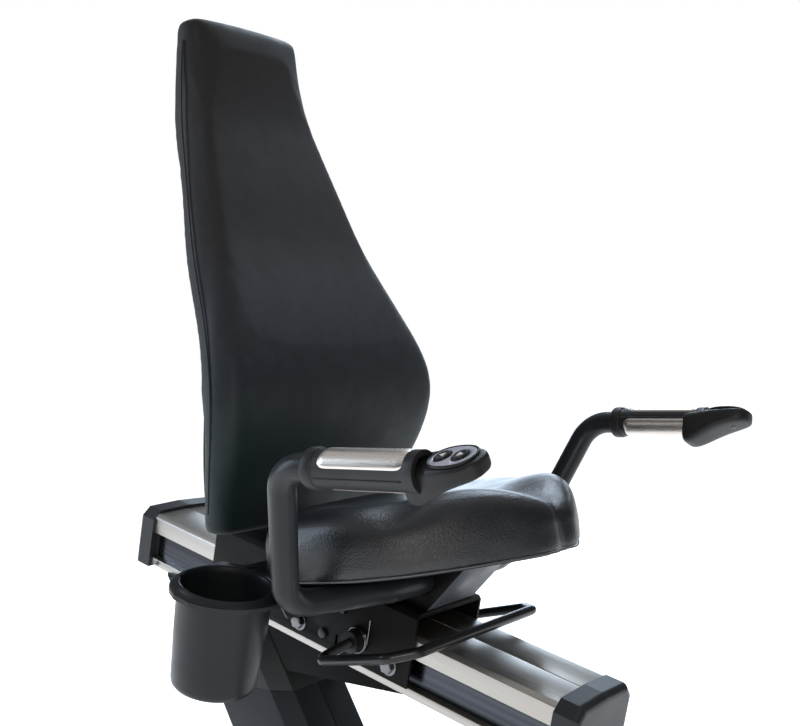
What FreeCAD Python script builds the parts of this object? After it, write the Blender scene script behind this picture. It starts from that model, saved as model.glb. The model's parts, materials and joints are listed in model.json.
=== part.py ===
import FreeCAD, Part
import math
import os
from FreeCAD import Placement, Rotation, Vector

# Recumbent exercise bike. Frame: +X is the way the rider faces, +Y the rider's left, +Z up.
# The origin is on the floor, under the middle of the bike. All sizes are in millimetres.

doc = FreeCAD.newDocument("exercise_bike")
sheet = doc.addObject("Spreadsheet::Sheet", "Dimensions")

SIZES = [
    # seat rail: an extruded channel that slopes down to the front
    ("rail_tilt", 14.0), ("rail_rear_x", -761.0), ("rail_rear_z", 527.0), ("rail_length", 654.0),
    ("rail_width", 114.0), ("rail_height", 74.0), ("lip_height", 28.0), ("recess_height", 36.0),
    ("recess_depth", 10.0), ("rail_wall", 5.0), ("rail_crown", 1.5), ("rail_chamfer", 5.0),
    ("cap_length", 30.0), ("cap_overlap", 3.5), ("cap_round", 9.0),
    # floor frame
    ("beam_width", 84.0), ("beam_height", 52.0), ("beam_bottom", 42.0), ("beam_wall", 3.0),
    ("bar_offset", 700.0), ("bar_depth", 60.0), ("bar_height", 54.0), ("bar_length", 500.0),
    ("bar_bottom", 22.0), ("bar_cap_length", 18.0), ("foot_radius", 22.0), ("foot_spread", 205.0),
    ("wheel_radius", 32.0), ("wheel_width", 26.0), ("wheel_spread", 120.0), ("wheel_axle_radius", 6.0),
    ("wheel_reach", 773.8), ("wheel_height", 35.0), ("wheel_round", 4.0), ("fork_plate", 5.0),
    ("fork_half_height", 12.0), ("fork_gap", 1.5), ("bar_cap_round", 6.0), ("bar_cap_margin", 2.0),
    ("foot_pad_height", 12.0),
    # raked seat post and its covers
    ("post_rake", 30.0), ("post_x", -562.0), ("post_z", 252.0), ("post_tube_depth", 84.0),
    ("post_tube_width", 64.0), ("post_wall", 4.0), ("cover_depth", 158.0), ("cover_half_width", 60.0),
    ("cover_wall", 3.5), ("cover_top", 316.0), ("collar_margin", 5.0), ("bracket_bottom", 340.0),
    ("bracket_width", 98.0), ("bracket_front_x", -324.0), ("bracket_rear_x", -706.0),
    ("bracket_rear_depth", 22.0), ("cover_seam", 0.4), ("collar_length", 130.0),
    # carriage that rides on the rail
    ("carriage_start", 130.0), ("carriage_end", 469.0), ("carriage_rise", 27.0),
    ("carriage_drop", 63.0), ("carriage_gap", 2.5), ("carriage_plate", 4.0), ("roller_radius", 17.7),
    ("roller_width", 10.0), ("roller_axle", 5.0), ("roller_rear", 295.0), ("roller_front", 440.0),
    ("track_depth", 46.0), ("fit_gap", 0.05), ("carriage_bend", 6.0), ("washer_radius", 11.0),
    ("washer_thickness", 1.6), ("bolt_head_radius", 8.5), ("bolt_head_height", 6.5),
    ("slot_station", 357.0), ("slot_width", 4.0), ("slot_height", 14.0), ("slot_depth", 47.0),
    ("shoe_station", 335.0), ("shoe_length", 30.0), ("shoe_height", 24.0), ("shoe_thickness", 6.0),
    ("shoe_pin_radius", 6.0), ("shoe_gap", 0.4), ("shoe_reach", 13.0),
    # release lever
    ("lever_station", 390.0), ("lever_depth", 33.0), ("lever_radius", 6.0),
    ("lever_pivot_radius", 7.0), ("lever_boss_radius", 13.0), ("lever_boss_length", 14.0),
    ("lever_stub_length", 9.5), ("lever_bend", 11.0), ("lever_side_gap", 2.5),
    # seat
    ("seat_pitch", 6.0), ("seat_x", -320.0), ("seat_z", 497.5), ("seat_half_width", 197.0),
    ("seat_nose", 186.0), ("seat_tail", 145.0), ("seat_thickness", 68.0), ("seat_edge_round", 20.0),
    ("pan_thickness", 3.0), ("pan_inset", 15.0), ("support_half_width", 45.0), ("support_wall", 4.0),
    ("support_reach", 66.0), ("support_length", 168.0), ("support_lean", 6.0),
    # back rest
    ("back_front_slope", 12.0), ("back_rear_slope", 8.0), ("back_shell_thickness", 8.0),
    ("shell_inset", 12.0), ("shell_slope", 6.0), ("upright_width", 60.0), ("upright_depth", 30.0),
    # side handles
    ("tube_radius", 14.3), ("handle_bend", 40.0), ("tube_wall", 2.5), ("tube_bore_gap", 1.0),
    ("sleeve_radius", 18.6), ("sleeve_rear", -244.0), ("sleeve_front", -124.0), ("sleeve_ring", 14.0),
    ("ring_rise", 1.6), ("plate_rear", -228.0), ("plate_front", -128.0), ("plate_thickness", 1.2),
    ("plate_span", 124.0), ("plate_lean", 45.0), ("pod_y", 289.0), ("pod_z", 652.0),
    ("pod_pitch", 4.0), ("pod_lean", 22.0), ("pod_half_width", 25.0), ("pod_rear", -124.0),
    ("pod_tip", -44.0), ("button_radius", 6.2), ("button_gap", 0.35), ("button_pitch", 9.5),
    ("button_rise", 1.6), ("button_length", 5.0), ("button_x", -83.0),
    # cup holder
    ("cup_x", -457.0), ("cup_y", -207.0), ("cup_z", 483.0), ("cup_tilt", 14.0), ("cup_radius", 50.0),
    ("cup_wall", 4.0), ("cup_height", 118.0), ("cup_flange", 6.0), ("cup_shelf_drop", 15.0),
    ("cup_ear", 26.0),
    # cranks, pedals and drive
    ("crank_x", 412.0), ("crank_z", 380.0), ("crank_length", 170.0), ("crank_slope", 25.0),
    ("crank_thickness", 15.0), ("crank_y", 77.0), ("axle_radius", 10.0), ("spindle_radius", 7.0),
    ("pedal_length", 96.0), ("pedal_width", 84.0), ("pedal_gap", 5.0), ("strap_thickness", 3.0),
    ("strap_rise", 62.0), ("strap_width", 34.0), ("pulley_radius", 130.0), ("pulley_width", 16.0),
    ("pulley_y", 28.0), ("flywheel_x", 600.0), ("flywheel_z", 300.0), ("flywheel_radius", 112.0),
    ("flywheel_width", 36.0), ("flywheel_y", -26.0), ("small_pulley_radius", 25.0),
    ("belt_thickness", 2.0), ("belt_gap", 0.3), ("flywheel_axle_radius", 8.0),
    ("housing_half_width", 68.0), ("housing_wall", 5.0), ("housing_round", 10.0),
    ("housing_seam", 0.4), ("bearing_radius", 20.0), ("bearing_width", 12.0), ("bracket_wall", 4.0),
    ("bracket_length", 60.0), ("bracket_y", -38.0), ("column_size", 54.0), ("column_x", 430.0),
    ("column_y", -34.0), ("column_gap", 4.0), ("cheek_thickness", 4.0), ("cheek_height", 50.0),
    ("crank_hole_radius", 30.0), ("neck_gap", 1.6), ("crank_hub", 22.0), ("crank_eye", 15.0),
    ("flywheel_axle_length", 90.0), ("flywheel_axle_y", -42.0),
    # mast, console and front handlebar
    ("inlet_depth", 14.0), ("inlet_radius", 3.2), ("inlet_width", 26.0), ("inlet_height", 20.0),
    ("inlet_x", 748.2), ("inlet_z", 120.0), ("inlet_floor", 3.0), ("mast_radius", 26.0),
    ("mast_wall", 2.5), ("mast_gap", 1.8), ("mast_foot_x", 470.0), ("mast_foot_z", 612.0),
    ("mast_top_x", 438.0), ("mast_top_z", 1135.0), ("console_width", 330.0), ("console_height", 230.0),
    ("console_depth", 46.0), ("console_tilt", 18.0), ("console_x", 408.0), ("console_z", 1185.0),
    ("console_round", 9.0), ("console_nip", 34.0), ("key_strip", 30.0), ("screen_margin", 24.0),
    ("screen_thickness", 3.0), ("bar_radius", 14.0), ("bar_wall", 2.5), ("bar_bend", 48.0),
    ("bar_half", 235.0), ("bar_height_up_mast", 405.0), ("bar_reach", 165.0), ("front_grip_wall", 4.0),
    ("front_grip_length", 110.0),
]

for row, (name, value) in enumerate(SIZES, start=1):
    sheet.set("A%d" % row, name)
    sheet.set("B%d" % row, str(value))
    sheet.setAlias("B%d" % row, name)
doc.recompute()

SIZE = {name: float(sheet.get(name)) for name, value in SIZES}
NODES = []


# ---------------------------------------------------------------- helpers

def keep(thing, label):
    """Mark an object as a finished piece with its own name."""
    thing.Label = label
    NODES.append(thing)
    return thing


def bind(thing, **cells):
    """Tie properties to formulas over the sheet's cells."""
    for prop, formula in cells.items():
        thing.setExpression(prop.replace("__", "."), formula)
    return thing


def origin_plane(body, role):
    """The named plane of a body's own origin."""
    for feature in body.Origin.OriginFeatures:
        if feature.Role == role:
            return feature
    raise ValueError(role)


def new_body(label):
    """An empty PartDesign body."""
    body = doc.addObject("PartDesign::Body", label)
    body.Label = label
    return body


def new_sketch(body, role, offset=0.0):
    """A sketch on one of the body's origin planes, moved along the plane's normal."""
    sketch = body.newObject("Sketcher::SketchObject", body.Name + "_sketch")
    sketch.AttachmentSupport = [(origin_plane(body, role), "")]
    sketch.MapMode = "FlatFace"
    sketch.AttachmentOffset = Placement(Vector(0, 0, offset), Rotation())
    return sketch


def draw_polygon(sketch, points):
    """A closed outline of straight lines through the points."""
    count = len(points)
    for index, point in enumerate(points):
        after = points[(index + 1) % count]
        line = Part.LineSegment(Vector(point[0], point[1], 0), Vector(after[0], after[1], 0))
        sketch.addGeometry(line, False)


def draw_circle(sketch, x, y, radius):
    """A full circle."""
    circle = Part.Circle(Vector(x, y, 0), Vector(0, 0, 1), radius)
    sketch.addGeometry(circle, False)


def pad(body, sketch, length, midplane=False, reverse=False, direction=None):
    """Extrude a sketch by a formula over the sheet."""
    feature = body.newObject("PartDesign::Pad", body.Name + "_pad")
    feature.Profile = sketch
    if midplane:
        feature.SideType = "Symmetric"
    feature.Reversed = reverse
    if direction is not None:
        feature.UseCustomVector = True
        feature.Direction = direction
        feature.AlongSketchNormal = True
    bind(feature, Length=length)
    sketch.Visibility = False
    return feature


def pocket(body, sketch, length, midplane=False, reverse=False):
    """Cut a sketch into the body by a formula over the sheet."""
    feature = body.newObject("PartDesign::Pocket", body.Name + "_pocket")
    feature.Profile = sketch
    if midplane:
        feature.SideType = "Symmetric"
    feature.Reversed = reverse
    bind(feature, Length=length)
    return feature


def round_edges(body, radius, chosen, kind="Fillet"):
    """Round or chamfer the edges of the body's tip for which chosen(edge) holds."""
    doc.recompute()
    tip = body.Tip
    names = []
    for index, edge in enumerate(tip.Shape.Edges, start=1):
        if chosen(edge):
            names.append("Edge%d" % index)
    feature = body.newObject("PartDesign::" + kind, body.Name + "_edges")
    feature.Base = (tip, names)
    if kind == "Fillet":
        bind(feature, Radius=radius)
    else:
        bind(feature, Size=radius)
    return feature


def cylinder(label, radius, height, centre, direction):
    """A Part cylinder along a direction, starting at a point."""
    solid = doc.addObject("Part::Cylinder", label)
    bind(solid, Radius=radius, Height=height)
    solid.Placement = Placement(Vector(*centre), Rotation(Vector(0, 0, 1), Vector(*direction)))
    return solid


def box(label, length, width, height, corner):
    """A Part box with one corner at a point."""
    solid = doc.addObject("Part::Box", label)
    bind(solid, Length=length, Width=width, Height=height)
    solid.Placement = Placement(Vector(*corner), Rotation())
    return solid


def fuse(label, parts):
    """One solid from several."""
    whole = doc.addObject("Part::MultiFuse", label)
    whole.Shapes = parts
    whole.Refine = True
    return whole


def cut(label, base, tool):
    """One object less another."""
    result = doc.addObject("Part::Cut", label)
    result.Base = base
    result.Tool = tool
    return result


def group(label, parts):
    """Identical pieces, kept as separate solids in one node."""
    whole = doc.addObject("Part::Compound", label)
    whole.Links = parts
    return whole


def feature(label, shape, placement=None):
    """A free shape made with Part's own functions."""
    thing = doc.addObject("Part::Feature", label)
    thing.Shape = shape
    if placement is not None:
        thing.Placement = placement
    return thing


def polyline(points):
    """A closed wire of straight edges."""
    corners = [Vector(*point) for point in points]
    return Part.makePolygon(corners + corners[:1])


def rounded_path(points, radius):
    """An open wire through the points, with an arc of the given radius at each corner."""
    corners = [Vector(*point) for point in points]
    edges = []
    start = corners[0]
    for index in range(1, len(corners) - 1):
        corner = corners[index]
        back = (corners[index - 1] - corner).normalize()
        ahead = (corners[index + 1] - corner).normalize()
        half = back.getAngle(ahead) / 2.0
        reach = radius / math.tan(half)
        first = corner + back * reach
        last = corner + ahead * reach
        middle_way = (back + ahead).normalize()
        middle = corner + middle_way * (radius / math.sin(half) - radius)
        edges.append(Part.makeLine(start, first))
        edges.append(Part.Arc(first, middle, last).toShape())
        start = last
    edges.append(Part.makeLine(start, corners[-1]))
    return Part.Wire(edges)


def swept_tube(path, outer, wall=0.0):
    """A round tube or rod along a wire."""
    start = path.Edges[0]
    point = start.valueAt(start.FirstParameter)
    tangent = start.tangentAt(start.FirstParameter)
    ring = Part.Wire(Part.makeCircle(outer, point, tangent))
    solid = path.makePipeShell([ring], True, False)
    if wall > 0:
        inner = Part.Wire(Part.makeCircle(outer - wall, point, tangent))
        solid = solid.cut(path.makePipeShell([inner], True, False))
    return solid


RAIL = Placement(Vector(SIZE["rail_rear_x"], 0, SIZE["rail_rear_z"]),
                 Rotation(Vector(0, 1, 0), SIZE["rail_tilt"]))
SEAT = Placement(Vector(SIZE["seat_x"], 0, SIZE["seat_z"]),
                 Rotation(Vector(0, 1, 0), -SIZE["seat_pitch"]))


def on_rail(along, side, above):
    """A point given along the rail, across it, and above its top."""
    return RAIL.multVec(Vector(along, side, above))


# ---------------------------------------------------------------- floor frame

def make_spine_beam():
    """The rectangular tube along the floor that joins the two cross bars."""
    body = new_body("spine_beam")
    sketch = new_sketch(body, "YZ_Plane")
    half = SIZE["beam_width"] / 2
    low = SIZE["beam_bottom"]
    high = low + SIZE["beam_height"]
    wall = SIZE["beam_wall"]
    draw_polygon(sketch, [(-half, low), (half, low), (half, high), (-half, high)])
    draw_polygon(sketch, [(wall - half, low + wall), (half - wall, low + wall),
                          (half - wall, high - wall), (wall - half, high - wall)])
    pad(body, sketch, "2 * (Dimensions.bar_offset - Dimensions.bar_depth / 2)", midplane=True)
    keep(body, "spine_beam")


def cross_bar(label, x):
    """A stabiliser tube across the bike."""
    body = new_body(label)
    sketch = new_sketch(body, "XZ_Plane")
    half = SIZE["bar_depth"] / 2
    low = SIZE["bar_bottom"]
    high = low + SIZE["bar_height"]
    wall = SIZE["beam_wall"]
    slope = half / 3
    draw_polygon(sketch, [(x - half, low), (x + half, low), (x + half, high - slope),
                          (x + half - slope, high), (x - half + slope, high), (x - half, high - slope)])
    draw_polygon(sketch, [(x - half + wall, low + wall), (x + half - wall, low + wall),
                          (x + half - wall, high - slope), (x + half - slope, high - wall),
                          (x - half + slope, high - wall), (x - half + wall, high - slope)])
    pad(body, sketch, "Dimensions.bar_length", midplane=True)
    return body


def make_front_stabilizer():
    """The front cross bar with two welded forks that hold the transport wheels."""
    parts = [cross_bar("front_bar", SIZE["bar_offset"])]
    start = SIZE["bar_offset"] + SIZE["bar_depth"] / 2
    low_z = SIZE["wheel_height"] - SIZE["fork_half_height"]
    gap = SIZE["fork_gap"]
    for side in (-1, 1):
        centre = side * SIZE["wheel_spread"]
        for edge in (-1, 1):
            offset = edge * (SIZE["wheel_width"] / 2 + gap)
            low = min(offset, offset + edge * SIZE["fork_plate"])
            length = ("Dimensions.wheel_reach + Dimensions.fork_half_height - Dimensions.bar_offset"
                      " - Dimensions.bar_depth / 2")
            plate = box("fork_side", length, "Dimensions.fork_plate", "2 * Dimensions.fork_half_height",
                        (start, centre + low, low_z))
            parts.append(plate)
        axle = cylinder("wheel_axle", "Dimensions.wheel_axle_radius",
                        "Dimensions.wheel_width + 2 * Dimensions.fork_gap",
                        (SIZE["wheel_reach"], centre - SIZE["wheel_width"] / 2 - gap, SIZE["wheel_height"]),
                        (0, 1, 0))
        parts.append(axle)
    keep(fuse("front_stabilizer", parts), "front_stabilizer")


def make_transport_wheel(label, side):
    """A rubber-tyred wheel, used when the bike is tipped forward and rolled."""
    body = new_body(label)
    sketch = new_sketch(body, "XZ_Plane")
    draw_circle(sketch, 0, 0, SIZE["wheel_radius"])
    draw_circle(sketch, 0, 0, SIZE["wheel_axle_radius"] + SIZE["fit_gap"])
    pad(body, sketch, "Dimensions.wheel_width", midplane=True)
    rim_length = 2 * math.pi * SIZE["wheel_radius"]
    round_edges(body, "Dimensions.wheel_round", lambda edge: abs(edge.Length - rim_length) < 0.1)
    body.Placement.Base = Vector(SIZE["wheel_reach"], side * SIZE["wheel_spread"], SIZE["wheel_height"])
    keep(body, label)


def make_stabilizer_caps():
    """Plastic plugs over the four ends of the cross bars."""
    caps = []
    margin = SIZE["bar_cap_margin"]
    half = SIZE["bar_depth"] / 2 + margin
    low = SIZE["bar_bottom"] - margin
    high = SIZE["bar_bottom"] + SIZE["bar_height"] + margin
    slope = half / 3
    for end in (-1, 1):
        for side in (-1, 1):
            body = new_body("bar_cap")
            sketch = new_sketch(body, "XZ_Plane", -side * SIZE["bar_length"] / 2)
            x = end * SIZE["bar_offset"]
            draw_polygon(sketch, [(x - half, low), (x + half, low), (x + half, high - slope),
                                  (x + half - slope, high), (x - half + slope, high),
                                  (x - half, high - slope)])
            pad(body, sketch, "Dimensions.bar_cap_length", reverse=(side > 0))
            face_y = side * (SIZE["bar_length"] / 2 + SIZE["bar_cap_length"])
            round_edges(body, "Dimensions.bar_cap_round",
                        lambda edge: all(abs(v.Y - face_y) < 0.1 for v in edge.Vertexes))
            caps.append(body)
    keep(group("stabilizer_caps", caps), "stabilizer_caps")


def make_levelling_feet():
    """Four rubber feet on threaded studs under the cross bars."""
    feet = []
    for end in (-1, 1):
        for side in (-1, 1):
            centre = (end * SIZE["bar_offset"], side * SIZE["foot_spread"], 0)
            pad_part = cylinder("foot_pad", "Dimensions.foot_radius", "Dimensions.foot_pad_height", centre,
                                (0, 0, 1))
            neck = cylinder("foot_neck", "Dimensions.foot_radius / 2",
                            "Dimensions.bar_bottom - Dimensions.foot_pad_height",
                            (centre[0], centre[1], SIZE["foot_pad_height"]), (0, 0, 1))
            feet.append(fuse("foot", [pad_part, neck]))
    keep(group("levelling_feet", feet), "levelling_feet")


# ---------------------------------------------------------------- seat post

def raked(x, z):
    """The x of a point that stood at x at the post's reference height, moved up the rake to z."""
    return x - (z - SIZE["post_z"]) * math.tan(math.radians(SIZE["post_rake"]))


def post_direction():
    """The way the post points, upwards and back."""
    angle = math.radians(SIZE["post_rake"])
    return Vector(-math.sin(angle), 0, math.cos(angle))


def cover_outline(grow):
    """Half of the post cover's level section at its reference height, from front to rear."""
    front = SIZE["post_x"] + SIZE["cover_depth"] / 2 + grow
    rear = SIZE["post_x"] - SIZE["cover_depth"] / 2 - grow
    half = SIZE["cover_half_width"] + grow
    return [(front, 0), (front, half - 15), (front - 27, half), (rear + 24, half), (rear, half - 22),
            (rear, 0)]


def make_post_cover(label, side):
    """One half of the two-part moulded cover around the post."""
    base = SIZE["beam_bottom"] + SIZE["beam_height"]
    shift = raked(0, base)
    seam = SIZE["cover_seam"]
    outer = cover_outline(0)
    inner = cover_outline(-SIZE["cover_wall"])
    points = []
    for x, y in outer:
        points.append((x + shift, side * max(y, seam)))
    for x, y in reversed(inner):
        points.append((x + shift, side * max(y, seam)))
    body = new_body(label)
    sketch = new_sketch(body, "XY_Plane", base)
    draw_polygon(sketch, points)
    pad(body, sketch, "Dimensions.cover_top - Dimensions.beam_bottom - Dimensions.beam_height",
        direction=post_direction())
    keep(body, label)


def make_seat_post():
    """The raked box tube that carries the rail."""
    base = SIZE["beam_bottom"] + SIZE["beam_height"]
    shift = raked(SIZE["post_x"], base)
    half_x = SIZE["post_tube_depth"] / 2
    half_y = SIZE["post_tube_width"] / 2
    wall = SIZE["post_wall"]
    body = new_body("seat_post")
    sketch = new_sketch(body, "XY_Plane", base)
    for inset in (0, wall):
        low_x = shift - half_x + inset
        high_x = shift + half_x - inset
        side = half_y - inset
        draw_polygon(sketch, [(low_x, -side), (high_x, -side), (high_x, side), (low_x, side)])
    pad(body, sketch, "Dimensions.bracket_bottom - Dimensions.beam_bottom - Dimensions.beam_height",
        direction=post_direction())
    keep(body, "seat_post")


def rail_underside(x):
    """Height of the rail's flat underside at x."""
    tilt = math.radians(SIZE["rail_tilt"])
    corner = on_rail(0, 0, -SIZE["rail_height"])
    return corner.z - (x - corner.x) * math.tan(tilt)


def make_rail_bracket():
    """The wedge-shaped steel saddle between the post and the rail."""
    body = new_body("rail_bracket")
    sketch = new_sketch(body, "XZ_Plane")
    front = SIZE["bracket_front_x"]
    rear = SIZE["bracket_rear_x"]
    low = SIZE["bracket_bottom"]
    shoulder = rail_underside(rear) - SIZE["bracket_rear_depth"]
    heel = raked(SIZE["post_x"] - SIZE["post_tube_depth"] / 2, low) - 6
    draw_polygon(sketch, [(front, rail_underside(front)), (rear, rail_underside(rear)), (rear, shoulder),
                          (heel, low), (front, low)])
    pad(body, sketch, "Dimensions.bracket_width", midplane=True)
    keep(body, "rail_bracket")
    return body


def make_post_collar(bracket):
    """The dark moulding that hides the joint of the post and the rail bracket."""
    low = SIZE["cover_top"] + 0.5
    shift = raked(0, low)
    body = new_body("collar_blank")
    sketch = new_sketch(body, "XY_Plane", low)
    for grow in (SIZE["collar_margin"], -SIZE["cover_wall"]):
        half = cover_outline(grow)
        mirrored = [(x, -y) for x, y in reversed(half[1:-1])]
        draw_polygon(sketch, [(x + shift, y) for x, y in half + mirrored])
    pad(body, sketch, "Dimensions.collar_length", direction=post_direction())
    room = Part.makeBox(900, 300, 300, Vector(-150, -150, -SIZE["rail_height"]))
    above = feature("above_rail_underside", room)
    above.Placement = RAIL
    trimmed = cut("collar_trimmed", body, above)
    keep(cut("post_collar", trimmed, bracket), "post_collar")


# ---------------------------------------------------------------- rail

def make_seat_rail():
    """The aluminium extrusion: crowned top, side recesses for the rollers, hollow middle."""
    body = new_body("seat_rail")
    sketch = new_sketch(body, "YZ_Plane")
    half = SIZE["rail_width"] / 2
    crown = SIZE["rail_crown"]
    chamfer = SIZE["rail_chamfer"]
    lip = SIZE["lip_height"]
    floor = lip + SIZE["recess_height"]
    inset = half - SIZE["recess_depth"]
    right = [(1, -1.2), (1, 0), (half - chamfer, -crown), (half, -crown - chamfer), (half, -lip),
             (inset, -lip), (inset, -floor), (half, -floor), (half, -SIZE["rail_height"])]
    left = [(-y, z) for y, z in reversed(right)]
    draw_polygon(sketch, right + left)
    wall = SIZE["rail_wall"]
    draw_polygon(sketch, [(inset - wall, -wall - 3), (inset - wall, wall - SIZE["rail_height"]),
                          (wall - inset, wall - SIZE["rail_height"]), (wall - inset, -wall - 3)])
    pad(body, sketch, "Dimensions.rail_length")
    body.Placement = RAIL
    keep(body, "seat_rail")


def make_rail_cap(label, start, direction):
    """A moulded end cap, a little proud of the rail all round, with a rounded rim."""
    over = SIZE["cap_overlap"]
    half = SIZE["rail_width"] / 2 + over
    low = -SIZE["rail_height"] - over
    body = new_body(label)
    sketch = new_sketch(body, "YZ_Plane")
    draw_polygon(sketch, [(half, low), (half, -10), (half - 12, over - 1), (0, over + 1),
                          (12 - half, over - 1), (-half, -10), (-half, low)])
    pad(body, sketch, "Dimensions.cap_length", reverse=(direction < 0))
    rim = direction * SIZE["cap_length"]
    round_edges(body, "Dimensions.cap_round", lambda edge: all(abs(v.X - rim) < 0.1 for v in edge.Vertexes))
    body.Placement = RAIL.multiply(Placement(Vector(start, 0, 0), Rotation()))
    keep(body, label)


# ---------------------------------------------------------------- carriage

def make_carriage_plate():
    """The folded steel channel that straddles the rail."""
    inner = SIZE["rail_width"] / 2 + SIZE["carriage_gap"]
    outer = inner + SIZE["carriage_plate"]
    top = SIZE["carriage_rise"]
    under = top - SIZE["carriage_plate"]
    low = -SIZE["carriage_drop"]
    bend = SIZE["carriage_bend"]
    body = new_body("carriage_plate")
    sketch = new_sketch(body, "YZ_Plane", SIZE["carriage_start"])
    draw_polygon(sketch, [(outer, low), (outer, top - bend), (outer - bend, top), (bend - outer, top),
                          (-outer, top - bend), (-outer, low), (-inner, low), (-inner, under), (inner, under),
                          (inner, low)])
    pad(body, sketch, "Dimensions.carriage_end - Dimensions.carriage_start")
    doc.recompute()
    holes = new_sketch(body, "XZ_Plane")
    draw_circle(holes, SIZE["shoe_station"], -SIZE["track_depth"], SIZE["shoe_pin_radius"] + SIZE["fit_gap"])
    first = SIZE["slot_station"] - SIZE["slot_width"] / 2
    last = SIZE["slot_station"] + SIZE["slot_width"] / 2
    bottom = -SIZE["slot_depth"] - SIZE["slot_height"] / 2
    draw_polygon(holes, [(first, bottom), (last, bottom), (last, bottom + SIZE["slot_height"]),
                         (first, bottom + SIZE["slot_height"])])
    pocket(body, holes, "Dimensions.rail_width * 2", midplane=True)
    body.Placement = RAIL
    keep(body, "carriage_plate")


def make_rollers(label, station):
    """A pair of rollers on one line, one in each side recess of the rail."""
    pair = []
    inset = SIZE["rail_width"] / 2 - SIZE["recess_depth"]
    for side in (-1, 1):
        body = new_body("roller")
        sketch = new_sketch(body, "XZ_Plane")
        draw_circle(sketch, 0, 0, SIZE["roller_radius"])
        draw_circle(sketch, 0, 0, SIZE["roller_axle"] + SIZE["fit_gap"])
        pad(body, sketch, "Dimensions.roller_width", midplane=True)
        middle = side * (inset + 1.3 + SIZE["roller_width"] / 2)
        body.Placement = RAIL.multiply(Placement(Vector(station, middle, -SIZE["track_depth"]), Rotation()))
        pair.append(body)
    keep(group(label, pair), label)


def make_carriage_bolts():
    """Hexagon bolts with washers; their shanks are the axles of the rollers."""
    bolts = []
    outer = SIZE["rail_width"] / 2 + SIZE["carriage_gap"] + SIZE["carriage_plate"]
    tip = SIZE["rail_width"] / 2 - SIZE["recess_depth"] + 0.8
    for station in (SIZE["roller_rear"], SIZE["roller_front"]):
        for side in (-1, 1):
            start = on_rail(station, side * outer, -SIZE["track_depth"])
            washer = cylinder("washer", "Dimensions.washer_radius", "Dimensions.washer_thickness", start,
                              (0, side, 0))
            head = doc.addObject("Part::Prism", "bolt_head")
            bind(head, Circumradius="Dimensions.bolt_head_radius", Height="Dimensions.bolt_head_height")
            head.Placement = Placement(start + Vector(0, side * SIZE["washer_thickness"], 0),
                                       Rotation(Vector(0, 0, 1), Vector(0, side, 0)))
            shank = cylinder("shank", "Dimensions.roller_axle", "%s" % (outer - SIZE["carriage_plate"] - tip),
                             on_rail(station, side * (outer - SIZE["carriage_plate"]), -SIZE["track_depth"]),
                             (0, -side, 0))
            bolts.append(fuse("bolt_outer", [washer, head]))
            bolts.append(shank)
    for side in (-1, 1):
        start = on_rail(SIZE["lever_station"], side * outer, -SIZE["lever_depth"])
        stub = cylinder("lever_stub", "Dimensions.lever_pivot_radius", "Dimensions.lever_stub_length", start,
                        (0, side, 0))
        bolts.append(stub)
    keep(group("carriage_bolts", bolts), "carriage_bolts")


def make_lock_shoe():
    """The friction shoe that the lever draws away from the rail, with its pull pin."""
    inset = SIZE["rail_width"] / 2 - SIZE["recess_depth"]
    face = -(inset + SIZE["shoe_gap"])
    corner = on_rail(SIZE["shoe_station"] - SIZE["shoe_length"] / 2, face - SIZE["shoe_thickness"],
                     -SIZE["track_depth"] - SIZE["shoe_height"] / 2)
    shoe = box("shoe_block", "Dimensions.shoe_length", "Dimensions.shoe_thickness", "Dimensions.shoe_height",
               (0, 0, 0))
    shoe.Placement = Placement(corner, RAIL.Rotation)
    start = on_rail(SIZE["shoe_station"], face - SIZE["shoe_thickness"], -SIZE["track_depth"])
    pin = cylinder("shoe_pin", "Dimensions.shoe_pin_radius", "Dimensions.shoe_reach", start, (0, -1, 0))
    keep(fuse("lock_shoe", [shoe, pin]), "lock_shoe")


def lever_pivot():
    """Centre of the lever's pivot line."""
    return on_rail(SIZE["lever_station"], 0, -SIZE["lever_depth"])


def make_release_lever():
    """The bent-rod bail in front of the seat: an eye on each side and a cross bar."""
    pivot = lever_pivot()
    outer = SIZE["rail_width"] / 2 + SIZE["carriage_gap"] + SIZE["carriage_plate"]
    side_points = [(pivot.x, outer + 15, pivot.z), (pivot.x - 20, outer + 52, pivot.z - 16),
                   (pivot.x + 104, outer + 74, pivot.z + 9), (pivot.x + 130, outer + 50, pivot.z + 14)]
    right = [(x, -y, z) for x, y, z in side_points]
    left = list(reversed(side_points))
    path = rounded_path(right + left, SIZE["lever_bend"])
    rod = swept_tube(path, SIZE["lever_radius"])
    gap = SIZE["lever_side_gap"]
    bore_depth = SIZE["lever_stub_length"] - gap + 0.5
    for side in (-1, 1):
        start = Vector(pivot.x, side * (outer + gap), pivot.z)
        across = Vector(0, side, 0)
        eye = Part.makeCylinder(SIZE["lever_boss_radius"], SIZE["lever_boss_length"], start, across)
        bore = Part.makeCylinder(SIZE["lever_pivot_radius"] + SIZE["fit_gap"], bore_depth, start, across)
        rod = rod.fuse(eye).cut(bore)
    keep(feature("release_lever", rod.removeSplitter()), "release_lever")


# ---------------------------------------------------------------- seat

def seat_outline(inset):
    """The cushion's plan as points round half an outline, nose first, smooth when splined."""
    nose = SIZE["seat_nose"] - inset
    tail = SIZE["seat_tail"] - inset
    half = SIZE["seat_half_width"] - inset
    return [(nose, 0), (nose * 0.955, half * 0.17), (nose * 0.80, half * 0.43), (nose * 0.66, half * 0.63),
            (nose * 0.46, half * 0.83), (nose * 0.20, half * 0.965), (-tail * 0.08, half),
            (-tail * 0.45, half * 0.965), (-tail * 0.78, half * 0.84), (-tail * 0.965, half * 0.52),
            (-tail, 0)]


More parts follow.
